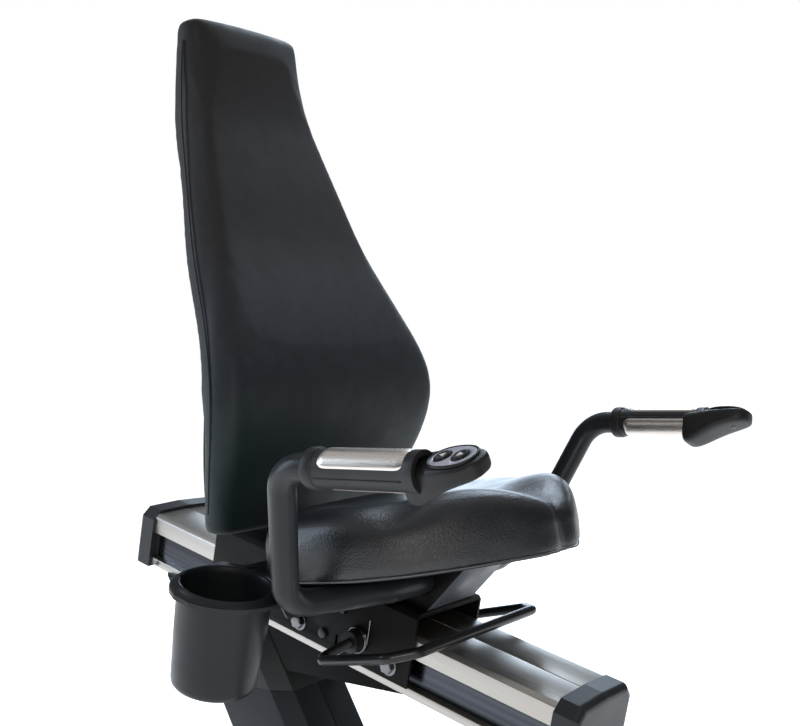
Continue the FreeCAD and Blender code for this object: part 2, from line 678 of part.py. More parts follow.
def seat_solid(inset, low, high):
    """A slab of the cushion's plan between two heights above its underside."""
    half = seat_outline(inset)
    points = half + [(x, -y) for x, y in reversed(half[1:-1])]
    curve = Part.BSplineCurve()
    curve.interpolate([Vector(x, y, low) for x, y in points], PeriodicFlag=True)
    face = Part.Face(Part.Wire(curve.toShape()))
    return face.extrude(Vector(0, 0, high - low))


def make_seat_cushion():
    """The moulded seat cushion."""
    slab = seat_solid(0, 0, SIZE["seat_thickness"])
    top = [edge for edge in slab.Edges if edge.BoundBox.ZMin > SIZE["seat_thickness"] - 1]
    keep(feature("seat_cushion", slab.makeFillet(SIZE["seat_edge_round"], top), SEAT), "seat_cushion")


def make_seat_pan():
    """The moulded tray that the cushion is fixed to."""
    slab = seat_solid(SIZE["pan_inset"], -SIZE["pan_thickness"], 0)
    keep(feature("seat_pan", slab, SEAT), "seat_pan")


def make_seat_support():
    """The folded steel box between the carriage and the seat pan, with its sloping front."""
    body = new_body("seat_support")
    sketch = new_sketch(body, "XZ_Plane")
    top = SIZE["carriage_rise"]
    foot_front = on_rail(SIZE["carriage_end"] - 2, 0, top)
    foot_rear = on_rail(SIZE["carriage_end"] - 2 - SIZE["support_length"], 0, top)

    def under_pan(x):
        pitch = math.radians(SIZE["seat_pitch"])
        rise = (x - SIZE["seat_x"]) * math.tan(pitch)
        return SIZE["seat_z"] + rise - SIZE["pan_thickness"] / math.cos(pitch)

    head_front = foot_front.x + SIZE["support_reach"]
    head_rear = foot_rear.x + SIZE["support_lean"]
    draw_polygon(sketch, [(foot_front.x, foot_front.z), (head_front, under_pan(head_front)),
                          (head_rear, under_pan(head_rear)), (foot_rear.x, foot_rear.z)])
    pad(body, sketch, "2 * Dimensions.support_half_width", midplane=True)
    doc.recompute()
    hollow = new_sketch(body, "XZ_Plane")
    wall = SIZE["support_wall"]
    slope = wall * 1.45
    draw_polygon(hollow, [(foot_front.x - slope, foot_front.z - wall), (foot_front.x - slope, foot_front.z),
                          (head_front - slope - wall * 1.2, under_pan(head_front) - wall * 1.3),
                          (head_rear - 20, under_pan(head_rear - 20) - wall),
                          (foot_rear.x - 20, foot_rear.z - wall)])
    pocket(body, hollow, "2 * (Dimensions.support_half_width - Dimensions.support_wall)", midplane=True)
    doc.recompute()
    bore = new_sketch(body, "XZ_Plane")
    draw_circle(bore, HANDLE_MIDDLE[0], HANDLE_MIDDLE[2], SIZE["tube_radius"] + SIZE["tube_bore_gap"])
    pocket(body, bore, "Dimensions.support_half_width * 4", midplane=True)
    keep(body, "seat_support")


# ---------------------------------------------------------------- back rest

# Front face of the back pad from top to bottom: x, z and half width.
BACK_FRONT = [(-598, 1172, 96), (-595, 1110, 100), (-586, 1050, 107), (-528, 875, 150), (-485, 790, 175),
              (-458, 735, 192), (-450, 690, 197), (-460, 645, 190), (-478, 605, 180), (-526, 525, 152)]
# Rear face of the pad at the same stations.
BACK_REAR = [(-633, 1168), (-640, 1110), (-640, 1042), (-577, 855), (-530, 762), (-510, 712), (-507, 680),
             (-520, 632), (-533, 598), (-562, 530)]


def back_section(index):
    """One level of the back pad: a closed section whose sides slope in to the front and the rear."""
    front_x, front_z, half = BACK_FRONT[index]
    rear_x, rear_z = BACK_REAR[index]
    start = Vector(front_x, 0, front_z)
    stop = Vector(rear_x, 0, rear_z)
    middle = (start + stop) * 0.5
    front_half = half - SIZE["back_front_slope"]
    rear_half = half - SIZE["back_rear_slope"]
    points = [start + Vector(0, front_half, 0), middle + Vector(0, half, 0), stop + Vector(0, rear_half, 0),
              stop - Vector(0, rear_half, 0), middle - Vector(0, half, 0), start - Vector(0, front_half, 0)]
    return Part.makePolygon(points + points[:1])


def make_back_pad():
    """The padded back: narrow at the top, widest at the lumbar bulge."""
    sections = [back_section(index) for index in range(len(BACK_FRONT))]
    keep(feature("back_pad", Part.makeLoft(sections, True, True)), "back_pad")


def make_back_shell():
    """The moulded shell behind the pad."""
    thick = SIZE["back_shell_thickness"]
    sections = []
    for index, (rear_x, rear_z) in enumerate(BACK_REAR):
        front_x, front_z, half = BACK_FRONT[index]
        unit = Vector(rear_x - front_x, 0, rear_z - front_z).normalize()
        start = Vector(rear_x, 0, rear_z)
        stop = start + unit * thick
        wide = half - SIZE["shell_inset"]
        narrow = wide - SIZE["shell_slope"]
        points = [start + Vector(0, wide, 0), stop + Vector(0, narrow, 0), stop - Vector(0, narrow, 0),
                  start - Vector(0, wide, 0)]
        sections.append(Part.makePolygon(points + points[:1]))
    keep(feature("back_shell", Part.makeLoft(sections, True, True)), "back_shell")


def make_back_upright():
    """The steel upright behind the shell, with its foot on the carriage and two stand-offs."""
    foot = on_rail(SIZE["carriage_start"] + 2, 0, SIZE["carriage_rise"])
    toe = on_rail(SIZE["carriage_start"] + 60, 0, SIZE["carriage_rise"])
    depth = SIZE["upright_depth"]
    body = new_body("upright_bar")
    sketch = new_sketch(body, "XZ_Plane")
    draw_polygon(sketch, [(foot.x, foot.z), (toe.x, toe.z), (toe.x - 8, toe.z + 30), (-588, 640), (-648, 935),
                          (-648 - depth, 930), (-588 - depth, 640), (foot.x, foot.z + 40)])
    pad(body, sketch, "Dimensions.upright_width", midplane=True)
    round_edges(body, "6", lambda edge: abs(abs(edge.Vertexes[0].Y) - SIZE["upright_width"] / 2) < 0.1
                and abs(edge.Vertexes[0].Y - edge.Vertexes[-1].Y) < 0.1 and edge.Length > 100)
    upper = new_body("upper_standoff")
    sketch = new_sketch(upper, "XZ_Plane")
    draw_polygon(sketch, [(-640, 905), (-650, 925), (-614.8, 937.2), (-605.9, 911)])
    pad(upper, sketch, "Dimensions.upright_width * 1.6", midplane=True)
    lower = new_body("lower_standoff")
    sketch = new_sketch(lower, "XZ_Plane")
    draw_polygon(sketch, [(-592, 630), (-589, 655), (-522.5, 655), (-529.5, 630)])
    pad(lower, sketch, "Dimensions.upright_width * 2", midplane=True)
    whole = fuse("back_frame", [body, upper, lower])
    keep(cut("back_upright", whole, shell_tool()), "back_upright")


def shell_tool():
    """The back shell, used to trim what is fixed to it."""
    return doc.getObjectsByLabel("back_shell")[0]


# ---------------------------------------------------------------- side handles

# Corners of the left-hand tube's centre line; y changes sign for the right-hand tube.
HANDLE_FRONT = (-108.0, 293.0, 633.0)
HANDLE_ELBOW = (-273.0, 296.5, 632.0)
HANDLE_KNEE = (-338.0, 233.0, 480.0)
HANDLE_INNER = (-303.0, 105.0, 476.0)
HANDLE_MIDDLE = (-303.0, 0.0, 476.0)


def make_handle_tube(label, side):
    """Half of the bent steel tube that runs from a grip, down and in under the seat."""
    corners = (HANDLE_FRONT, HANDLE_ELBOW, HANDLE_KNEE, HANDLE_INNER, HANDLE_MIDDLE)
    points = [(x, side * y, z) for x, y, z in corners]
    path = rounded_path(points, SIZE["handle_bend"])
    keep(feature(label, swept_tube(path, SIZE["tube_radius"], SIZE["tube_wall"])), label)


def grip_frame(side):
    """Placement with +X along a grip's tube, at the tube's front end."""
    front = Vector(HANDLE_FRONT[0], side * HANDLE_FRONT[1], HANDLE_FRONT[2])
    back = Vector(HANDLE_ELBOW[0], side * HANDLE_ELBOW[1], HANDLE_ELBOW[2])
    return Placement(front, Rotation(Vector(1, 0, 0), front - back))


def ring_sector(inner, outer, start, length, first, span):
    """A curved plate: part of a ring about the X axis."""
    blank = Part.makeCylinder(outer, length, Vector(start, 0, 0), Vector(1, 0, 0), span)
    hole = Part.makeCylinder(inner, length, Vector(start, 0, 0), Vector(1, 0, 0))
    plate = blank.cut(hole)
    plate.rotate(Vector(0, 0, 0), Vector(1, 0, 0), first)
    return plate


def make_grips():
    """The moulded sleeves with end rings, and the steel pulse plates: one up and out, one down and in."""
    sleeves = []
    plates = []
    radius = SIZE["sleeve_radius"]
    front_x = HANDLE_FRONT[0]
    for side in (-1, 1):
        place = grip_frame(side)
        start = SIZE["sleeve_rear"] - front_x
        length = SIZE["sleeve_front"] - SIZE["sleeve_rear"]
        sleeve = Part.makeCylinder(radius, length, Vector(start, 0, 0), Vector(1, 0, 0))
        ring = Part.makeCylinder(radius + SIZE["ring_rise"], SIZE["sleeve_ring"], Vector(start, 0, 0),
                                 Vector(1, 0, 0))
        bore = Part.makeCylinder(SIZE["tube_radius"], length, Vector(start, 0, 0), Vector(1, 0, 0))
        sleeves.append(feature("sleeve", sleeve.fuse(ring).cut(bore).removeSplitter(), place))
        for turn in (0, 180):
            first = -side * (SIZE["plate_lean"] + turn) - SIZE["plate_span"] / 2
            plate = ring_sector(radius, radius + SIZE["plate_thickness"], SIZE["plate_rear"] - front_x,
                                SIZE["plate_front"] - SIZE["plate_rear"], first, SIZE["plate_span"])
            plates.append(feature("plate", plate, place))
    keep(group("grip_sleeves", sleeves), "grip_sleeves")
    keep(group("grip_plates", plates), "grip_plates")


def pod_frame(side):
    """Placement of a button pod, leaning outwards, with +X forward and +Z out of its face."""
    lean = Rotation(Vector(1, 0, 0), -side * SIZE["pod_lean"])
    pitch = Rotation(Vector(0, 1, 0), -SIZE["pod_pitch"])
    return Placement(Vector(SIZE["button_x"], side * SIZE["pod_y"], SIZE["pod_z"]), lean.multiply(pitch))


def make_button_pod(label, side):
    """The paddle at a grip's front end, hollowed for the tube and for two buttons."""
    place = pod_frame(side)
    rear = SIZE["pod_rear"] - SIZE["button_x"]
    tip = SIZE["pod_tip"] - SIZE["button_x"]
    half = SIZE["pod_half_width"]
    profile = polyline([(rear, 0, -1), (rear + 14, 0, 0), (tip - 5, 0, 0), (tip, 0, -6), (tip - 6, 0, -13),
                        (rear + 26, 0, -40), (rear, 0, -40)])
    side_solid = Part.Face(profile).extrude(Vector(0, 2 * half, 0))
    side_solid.translate(Vector(0, -half, 0))
    plan = [(rear, 4 - half, 0), (tip - 24, -half, 0), (tip - 8, 8 - half, 0), (tip, 18 - half, 0),
            (tip, half - 18, 0), (tip - 8, half - 8, 0), (tip - 24, half, 0), (rear, half - 4, 0)]
    plan_solid = Part.Face(polyline(plan)).extrude(Vector(0, 0, -60))
    paddle = side_solid.common(plan_solid)
    for offset in (-1, 1):
        well = Part.makeCylinder(SIZE["button_radius"] + SIZE["button_gap"], SIZE["button_length"] + 2,
                                 Vector(offset * SIZE["button_pitch"], 0, -SIZE["button_length"] - 2))
        paddle = paddle.cut(well)
    paddle.transformShape(place.toMatrix())
    tube = Part.makeCylinder(SIZE["tube_radius"], 60, Vector(-60, 0, 0), Vector(1, 0, 0))
    tube.transformShape(grip_frame(side).toMatrix())
    keep(feature(label, paddle.cut(tube).removeSplitter()), label)


def make_button(label, side, offset):
    """One round push button of a pod."""
    base = pod_frame(side).multVec(Vector(offset * SIZE["button_pitch"], 0,
                                          SIZE["button_rise"] - SIZE["button_length"]))
    normal = pod_frame(side).Rotation.multVec(Vector(0, 0, 1))
    button = cylinder(label, "Dimensions.button_radius", "Dimensions.button_length", base, normal)
    keep(button, label)


def make_cup_holder():
    """The moulded bottle holder, square to the rail, with the shelf that bolts to the carriage."""
    place = Placement(Vector(SIZE["cup_x"], SIZE["cup_y"], SIZE["cup_z"]),
                      Rotation(Vector(0, 1, 0), SIZE["cup_tilt"]))
    radius = SIZE["cup_radius"]
    wall = SIZE["cup_wall"]
    height = SIZE["cup_height"]
    flange = SIZE["cup_flange"]
    cup = Part.makeCone(radius - 2, radius + wall, height, Vector(0, 0, -height))
    rim = Part.makeCylinder(radius + wall + 7, flange, Vector(0, 0, -flange))
    reach = -SIZE["cup_y"] - SIZE["rail_width"] / 2 - SIZE["carriage_gap"] - SIZE["carriage_plate"] - 0.1
    drop = SIZE["cup_shelf_drop"]
    shelf = Part.Face(polyline([(-50, 0, -drop), (-70, reach, -drop), (60, reach, -drop), (46, 0, -drop)]))
    shelf = shelf.extrude(Vector(0, 0, -flange))
    ear = Part.makeBox(130, wall, SIZE["cup_ear"], Vector(-70, reach - wall, -drop - SIZE["cup_ear"]))
    inside = Part.makeCone(radius - 6, radius, height - wall, Vector(0, 0, wall - height))
    solid = cup.fuse([rim, shelf, ear]).cut(inside)
    solid.transformShape(place.toMatrix())
    keep(feature("cup_holder", solid.removeSplitter()), "cup_holder")


# ---------------------------------------------------------------- drive

# Side outline of the drive housing, from its rear foot over the top to its front foot.
HOUSING = [(238, 96), (234, 250), (268, 420), (350, 552), (434, 628), (475, 640), (520, 634), (610, 572),
           (700, 430), (742, 260), (748, 96)]
HOUSING_MIDDLE = (490.0, 350.0)


def housing_points(inset):
    """The drive housing's side outline, drawn in towards its middle."""
    middle_x, middle_z = HOUSING_MIDDLE
    points = []
    for x, z in HOUSING:
        away = math.hypot(x - middle_x, z - middle_z)
        scale = (away - inset) / away
        points.append((middle_x + (x - middle_x) * scale, middle_z + (z - middle_z) * scale))
    return points


def housing_wire(inset, y):
    """The housing's outline, drawn in by the inset, at one distance from the middle plane."""
    points = [Vector(x, -y, z) for x, z in housing_points(inset)]
    curve = Part.BSplineCurve()
    curve.interpolate(points, False, 0.001, Vector(0, 0, 1), Vector(0, 0, -1))
    return Part.Wire([curve.toShape(), Part.makeLine(points[-1], points[0])])


def make_housings():
    """The two mirrored halves of the drive housing: shells with holes for the crank axle and the mast."""
    half = SIZE["housing_half_width"]
    seam = SIZE["housing_seam"]
    wall = SIZE["housing_wall"]
    soft = SIZE["housing_round"]
    flank = Part.Face(housing_wire(0, seam)).extrude(Vector(0, seam + soft - half, 0))
    rims = [(0, half - soft), (soft * 0.13, half - soft * 0.5), (soft * 0.5, half - soft * 0.13),
            (soft, half)]
    shell = flank
    for (first_inset, first_y), (next_inset, next_y) in zip(rims, rims[1:]):
        rings = [housing_wire(first_inset, first_y), housing_wire(next_inset, next_y)]
        shell = shell.fuse(Part.makeLoft(rings, True, True))
    hollow = Part.Face(housing_wire(wall * 1.35, seam)).extrude(Vector(0, seam + wall + 3 - half, 0))
    shell = shell.cut(hollow)
    crank_hole = Part.makeCylinder(SIZE["crank_hole_radius"], 2 * half,
                                   Vector(SIZE["crank_x"], -2 * half, SIZE["crank_z"]), Vector(0, 1, 0))
    neck = Part.makeCylinder(SIZE["mast_radius"] + SIZE["neck_gap"], 80, Vector(SIZE["mast_foot_x"], 0, 600))
    column = SIZE["column_size"]
    gap = SIZE["column_gap"]
    column_slot = Part.makeBox(column + 2 * gap, column + 6 * gap, 30,
                               Vector(SIZE["column_x"] - gap, SIZE["column_y"] - 2 * gap, 85))
    shell = shell.cut(crank_hole).cut(neck).cut(column_slot)
    shell = keep(feature("housing_right", shell), "housing_right")
    mirrored = doc.addObject("Part::Mirroring", "housing_left")
    mirrored.Source = shell
    mirrored.Normal = Vector(0, 1, 0)
    keep(mirrored, "housing_left")


def make_drive_frame():
    """The welded frame inside the housing: column, bottom bracket shell and flywheel cheeks."""
    base = SIZE["beam_bottom"] + SIZE["beam_height"]
    column = box("column", "Dimensions.column_size", "Dimensions.column_size",
                 "Dimensions.mast_foot_z - Dimensions.beam_bottom - Dimensions.beam_height",
                 (SIZE["column_x"], SIZE["column_y"], base))
    start = (SIZE["crank_x"], SIZE["bracket_y"], SIZE["crank_z"])
    bracket = cylinder("bracket_shell", "Dimensions.bearing_radius + Dimensions.bracket_wall",
                       "Dimensions.bracket_length", start, (0, 1, 0))
    parts = [column, bracket]
    for low in (-36, 16):
        cheek = box("cheek", "Dimensions.flywheel_x + 20 - Dimensions.mast_foot_x",
                    "Dimensions.cheek_thickness", "Dimensions.cheek_height",
                    (SIZE["mast_foot_x"], low, SIZE["flywheel_z"] - SIZE["cheek_height"] / 2))
        parts.append(cheek)
    frame = fuse("frame_blank", parts)
    reach = SIZE["bracket_length"]
    bore = cylinder("bracket_bore", "Dimensions.bearing_radius", "2 * Dimensions.bracket_length",
                    (SIZE["crank_x"], -reach, SIZE["crank_z"]), (0, 1, 0))
    axle_bore = cylinder("axle_bore", "Dimensions.flywheel_axle_radius", "2 * Dimensions.bracket_length",
                         (SIZE["flywheel_x"], -reach, SIZE["flywheel_z"]), (0, 1, 0))
    keep(cut("drive_frame", frame, fuse("frame_bores", [bore, axle_bore])), "drive_frame")


def make_axle_bearings():
    """Two ball bearings pressed into the bottom bracket shell."""
    rings = []
    low = SIZE["bracket_y"]
    for start in (low, low + SIZE["bracket_length"] - SIZE["bearing_width"]):
        place = (SIZE["crank_x"], start, SIZE["crank_z"])
        outer = cylinder("bearing_outer", "Dimensions.bearing_radius", "Dimensions.bearing_width", place,
                         (0, 1, 0))
        inner = cylinder("bearing_inner", "Dimensions.axle_radius + Dimensions.fit_gap",
                         "Dimensions.bearing_width", place, (0, 1, 0))
        rings.append(cut("bearing", outer, inner))
    keep(group("axle_bearings", rings), "axle_bearings")


def make_crank_axle():
    """The steel axle through the bottom bracket."""
    reach = SIZE["crank_y"]
    axle = cylinder("crank_axle", "Dimensions.axle_radius", "2 * Dimensions.crank_y",
                    (SIZE["crank_x"], -reach, SIZE["crank_z"]), (0, 1, 0))
    keep(axle, "crank_axle")


def wheel_with_bore(label, radius, width, bore_radius, centre):
    """A disc with a bore, its axis across the bike."""
    disc = cylinder("disc", radius, width, centre, (0, 1, 0))
    hole = cylinder("hole", bore_radius, width, centre, (0, 1, 0))
    keep(cut(label, disc, hole), label)


def make_drive_belt():
    """The ribbed belt round the two pulleys, drawn as one taut loop."""
    gap = SIZE["belt_gap"]
    first = Vector(SIZE["crank_x"], 0, SIZE["crank_z"])
    second = Vector(SIZE["flywheel_x"], 0, SIZE["flywheel_z"])
    solids = []
    for grow in (gap + SIZE["belt_thickness"], gap):
        big = SIZE["pulley_radius"] + grow
        small = SIZE["small_pulley_radius"] + grow
        line = second - first
        lean = math.acos((big - small) / line.Length)
        heading = math.atan2(line.z, line.x)
        points = []
        for sign in (1, -1):
            angle = heading + sign * lean
            away = Vector(math.cos(angle), 0, math.sin(angle))
            points.append((first + away * big, second + away * small))
        far = heading + math.pi
        left = first + Vector(math.cos(far), 0, math.sin(far)) * big
        right = second + Vector(math.cos(heading), 0, math.sin(heading)) * small
        loop = Part.Wire([Part.Arc(points[0][0], left, points[1][0]).toShape(),
                          Part.makeLine(points[1][0], points[1][1]),
                          Part.Arc(points[1][1], right, points[0][1]).toShape(),
                          Part.makeLine(points[0][1], points[0][0])])
        solids.append(Part.Face(loop).extrude(Vector(0, SIZE["pulley_width"] - 2, 0)))
    belt = solids[0].cut(solids[1])
    belt.translate(Vector(0, SIZE["pulley_y"] + 1, 0))
    keep(feature("drive_belt", belt), "drive_belt")


def crank_tip(side):
    """Centre of a pedal, on the crank's line; the two cranks point opposite ways."""
    angle = math.radians(SIZE["crank_slope"])
    reach = -side * SIZE["crank_length"]
    return Vector(SIZE["crank_x"] + reach * math.cos(angle), 0, SIZE["crank_z"] - reach * math.sin(angle))


def make_crank(label, side):
    """A forged crank arm with its pedal spindle."""
    tip = crank_tip(side)
    centre = Vector(SIZE["crank_x"], 0, SIZE["crank_z"])
    line = (tip - centre).normalize()
    across = Vector(-line.z, 0, line.x)
    hub = SIZE["crank_hub"]
    eye = SIZE["crank_eye"]
    hub_arc = Part.Arc(centre + across * hub, centre - line * hub, centre - across * hub)
    outline = Part.Wire([hub_arc.toShape(),
                         Part.makeLine(centre - across * hub, tip - across * eye),
                         Part.Arc(tip - across * eye, tip + line * eye, tip + across * eye).toShape(),
                         Part.makeLine(tip + across * eye, centre + across * hub)])
    arm = Part.Face(outline).extrude(Vector(0, side * SIZE["crank_thickness"], 0))
    arm.translate(Vector(0, side * SIZE["crank_y"], 0))
    start = side * (SIZE["crank_y"] + SIZE["crank_thickness"] - 2)
    spindle = Part.makeCylinder(SIZE["spindle_radius"], SIZE["pedal_width"] + SIZE["pedal_gap"] - 6,
                                Vector(tip.x, start, tip.z), Vector(0, side, 0))
    keep(feature(label, arm.fuse(spindle).removeSplitter()), label)


def make_pedal(label, side):
    """A moulded pedal with its heavy side down, so that the tread stays up."""
    tip = crank_tip(side)
    near = SIZE["crank_y"] + SIZE["crank_thickness"] + SIZE["pedal_gap"]
    half = SIZE["pedal_length"] / 2
    profile = polyline([(-half, 0, 8), (half, 0, 8), (half - 4, 0, -10), (22, 0, -26), (-22, 0, -26),
                        (4 - half, 0, -10)])
    block = Part.Face(profile).extrude(Vector(0, SIZE["pedal_width"], 0))
    bore = Part.makeCylinder(SIZE["spindle_radius"] + SIZE["fit_gap"], SIZE["pedal_width"] - 4,
                             Vector(0, 0, 0), Vector(0, 1, 0))
    block = block.cut(bore)
    if side < 0:
        block = block.mirror(Vector(0, 0, 0), Vector(0, 1, 0))
    block.translate(Vector(tip.x, side * near, tip.z))
    keep(feature(label, block), label)


def make_strap(label, side):
    """The rubber strap over a pedal: a thin arch that leaves room for a shoe."""
    tip = crank_tip(side)
    near = SIZE["crank_y"] + SIZE["crank_thickness"] + SIZE["pedal_gap"]
    thick = SIZE["strap_thickness"]
    width = SIZE["pedal_width"]
    rise = SIZE["strap_rise"]
    loops = []
    for grow in (thick, 0):
        arch = Part.Wire([Part.makeLine(Vector(0, -grow, -8), Vector(0, -grow, rise - 30)),
                          Part.Arc(Vector(0, -grow, rise - 30), Vector(0, width / 2, rise + grow),
                                   Vector(0, width + grow, rise - 30)).toShape(),
                          Part.makeLine(Vector(0, width + grow, rise - 30), Vector(0, width + grow, -8)),
                          Part.makeLine(Vector(0, width + grow, -8), Vector(0, -grow, -8))])
        loops.append(Part.Face(arch).extrude(Vector(SIZE["strap_width"], 0, 0)))
    strap = loops[0].cut(loops[1])
    cutter = Part.makeCylinder(SIZE["spindle_radius"] + 1.5, thick * 4,
                               Vector(SIZE["strap_width"] / 2, -thick * 2, 0), Vector(0, 1, 0))
    strap = strap.cut(cutter)
    if side < 0:
        strap = strap.mirror(Vector(0, 0, 0), Vector(0, 1, 0))
    strap.translate(Vector(tip.x - SIZE["strap_width"] / 2, side * near, tip.z))
    keep(feature(label, strap), label)


def make_power_inlet():
    """The low-voltage socket at the front of the housing, beside the beam."""
    corner = (SIZE["inlet_x"], -SIZE["inlet_width"] / 2, SIZE["inlet_z"] - SIZE["inlet_height"] / 2)
    socket = box("inlet_block", "Dimensions.inlet_depth", "Dimensions.inlet_width", "Dimensions.inlet_height",
                 corner)
    bore = cylinder("inlet_bore", "Dimensions.inlet_radius",
                    "Dimensions.inlet_depth - Dimensions.inlet_floor",
                    (SIZE["inlet_x"] + SIZE["inlet_floor"], 0, SIZE["inlet_z"]), (1, 0, 0))
    keep(cut("power_inlet", socket, bore), "power_inlet")


# ---------------------------------------------------------------- mast and console

def mast_direction():
    """Unit vector up the mast."""
    rise = SIZE["mast_top_z"] - SIZE["mast_foot_z"]
    return Vector(SIZE["mast_top_x"] - SIZE["mast_foot_x"], 0, rise).normalize()


def make_mast():
    """The tube that carries the console and the front handlebar."""
    length = math.hypot(SIZE["mast_top_x"] - SIZE["mast_foot_x"], SIZE["mast_top_z"] - SIZE["mast_foot_z"])
    foot = (SIZE["mast_foot_x"], 0, SIZE["mast_foot_z"] + SIZE["mast_gap"])
    outer = cylinder("mast_outer", "Dimensions.mast_radius", "%s" % length, foot, mast_direction())
    inner = cylinder("mast_inner", "Dimensions.mast_radius - Dimensions.mast_wall", "%s" % length, foot,
                     mast_direction())
    tube = cut("mast_tube", outer, inner)
    console = doc.getObjectsByLabel("console_housing")[0]
    keep(cut("mast", tube, console), "mast")


def console_frame():
    """Placement of the console: +X is the outward normal of its face, towards the rider."""
    return Placement(Vector(SIZE["console_x"], 0, SIZE["console_z"]),
                     Rotation(Vector(0, 1, 0), SIZE["console_tilt"]).multiply(Rotation(Vector(0, 0, 1), 180)))


def make_console():
    """The console's moulded housing and its display."""
    half = SIZE["console_width"] / 2
    tall = SIZE["console_height"] / 2
    body = new_body("console_blank")
    sketch = new_sketch(body, "YZ_Plane")
    nip = SIZE["console_nip"]
    draw_polygon(sketch, [(nip - half, -tall), (half - nip, -tall), (half, nip - tall), (half - 10, tall - 20),
                          (half - 36, tall), (36 - half, tall), (10 - half, tall - 20), (-half, nip - tall)])
    pad(body, sketch, "Dimensions.console_depth", reverse=True)
    round_edges(body, "Dimensions.console_round",
                lambda edge: all(abs(v.X + SIZE["console_depth"]) < 0.1 for v in edge.Vertexes))
    doc.recompute()
    recess = new_sketch(body, "YZ_Plane")
    inner = half - SIZE["screen_margin"]
    upper = tall - SIZE["screen_margin"]
    lower = SIZE["key_strip"] - upper
    draw_polygon(recess, [(-inner, lower), (inner, lower), (inner, upper), (-inner, upper)])
    pocket(body, recess, "Dimensions.screen_thickness + 1")
    doc.recompute()
    body.Placement = console_frame()
    keep(body, "console_housing")
    screen = box("console_screen", "Dimensions.screen_thickness",
                 "Dimensions.console_width - 2 * Dimensions.screen_margin",
                 "Dimensions.console_height - 2 * Dimensions.screen_margin - Dimensions.key_strip", (0, 0, 0))
    corner = Placement(Vector(-SIZE["screen_thickness"] - 1, -inner, lower), Rotation())
    screen.Placement = console_frame().multiply(corner)
    keep(screen, "console_screen")


def make_front_handlebar():
    """The bent bar below the console, reaching back towards the rider on both sides."""
    foot = Vector(SIZE["mast_foot_x"], 0, SIZE["mast_foot_z"])
    centre = foot + mast_direction() * SIZE["bar_height_up_mast"]
    front_x = centre.x + SIZE["mast_radius"] + SIZE["bar_radius"] + 0.2
    half = SIZE["bar_half"]
    corners = [(front_x, half, centre.z + 6), (front_x - SIZE["bar_reach"], half, centre.z + 34)]
    points = [(x, -y, z) for x, y, z in reversed(corners)] + corners
    tube = swept_tube(rounded_path(points, SIZE["bar_bend"]), SIZE["bar_radius"], SIZE["bar_wall"])
    keep(feature("front_handlebar", tube), "front_handlebar")
    grips = []
    outer = SIZE["bar_radius"] + SIZE["front_grip_wall"]
    length = SIZE["front_grip_length"]
    for side in (-1, 1):
        tip = Vector(corners[1][0], side * corners[1][1], corners[1][2])
        back = Vector(corners[0][0], side * corners[0][1], corners[0][2])
        way = (back - tip).normalize()
        sleeve = Part.makeCylinder(outer, length, tip, way)
        bore = Part.makeCylinder(SIZE["bar_radius"], length, tip, way)
        end = Part.makeCylinder(outer, SIZE["front_grip_wall"], tip - way * SIZE["front_grip_wall"], way)
        grips.append(feature("front_grip", sleeve.cut(bore).fuse(end)))
    keep(group("front_grips", grips), "front_grips")


# ---------------------------------------------------------------- build

make_spine_beam()
keep(cross_bar("rear_stabilizer", -SIZE["bar_offset"]), "rear_stabilizer")
make_front_stabilizer()
make_transport_wheel("transport_wheel_right", -1)
make_transport_wheel("transport_wheel_left", 1)
make_stabilizer_caps()
make_levelling_feet()

make_seat_post()
make_post_cover("post_cover_right", -1)
make_post_cover("post_cover_left", 1)
make_post_collar(make_rail_bracket())

make_seat_rail()
make_rail_cap("rail_cap_rear", 0.0, -1)
make_rail_cap("rail_cap_front", SIZE["rail_length"], 1)

make_carriage_plate()
make_rollers("rollers_rear", SIZE["roller_rear"])
make_rollers("rollers_front", SIZE["roller_front"])
make_carriage_bolts()
make_lock_shoe()
make_release_lever()

make_seat_cushion()
make_seat_pan()
make_seat_support()
make_back_pad()
make_back_shell()
make_back_upright()

make_handle_tube("handle_tube_right", -1)
make_handle_tube("handle_tube_left", 1)
make_grips()
make_button_pod("button_pod_right", -1)
make_button_pod("button_pod_left", 1)
for side_name, side_sign in (("right", -1), ("left", 1)):
    for button_name, button_offset in (("rear", -1), ("front", 1)):
        make_button("button_%s_%s" % (side_name, button_name), side_sign, button_offset)
make_cup_holder()

make_drive_frame()
make_axle_bearings()
make_crank_axle()
wheel_with_bore("drive_pulley", "Dimensions.pulley_radius", "Dimensions.pulley_width",
                "Dimensions.axle_radius", (SIZE["crank_x"], SIZE["pulley_y"], SIZE["crank_z"]))
wheel_with_bore("flywheel", "Dimensions.flywheel_radius", "Dimensions.flywheel_width",
                "Dimensions.flywheel_axle_radius + Dimensions.fit_gap",
                (SIZE["flywheel_x"], SIZE["flywheel_y"], SIZE["flywheel_z"]))
wheel_with_bore("flywheel_pulley", "Dimensions.small_pulley_radius", "Dimensions.pulley_width",
                "Dimensions.flywheel_axle_radius + Dimensions.fit_gap",
                (SIZE["flywheel_x"], SIZE["pulley_y"], SIZE["flywheel_z"]))
keep(cylinder("flywheel_axle", "Dimensions.flywheel_axle_radius", "Dimensions.flywheel_axle_length",
              (SIZE["flywheel_x"], SIZE["flywheel_axle_y"], SIZE["flywheel_z"]), (0, 1, 0)), "flywheel_axle")
make_drive_belt()
for side_name, side_sign in (("right", -1), ("left", 1)):
    make_crank("crank_" + side_name, side_sign)
    make_pedal("pedal_" + side_name, side_sign)
    make_strap("pedal_strap_" + side_name, side_sign)
make_housings()
make_power_inlet()

make_console()
make_mast()
make_front_handlebar()

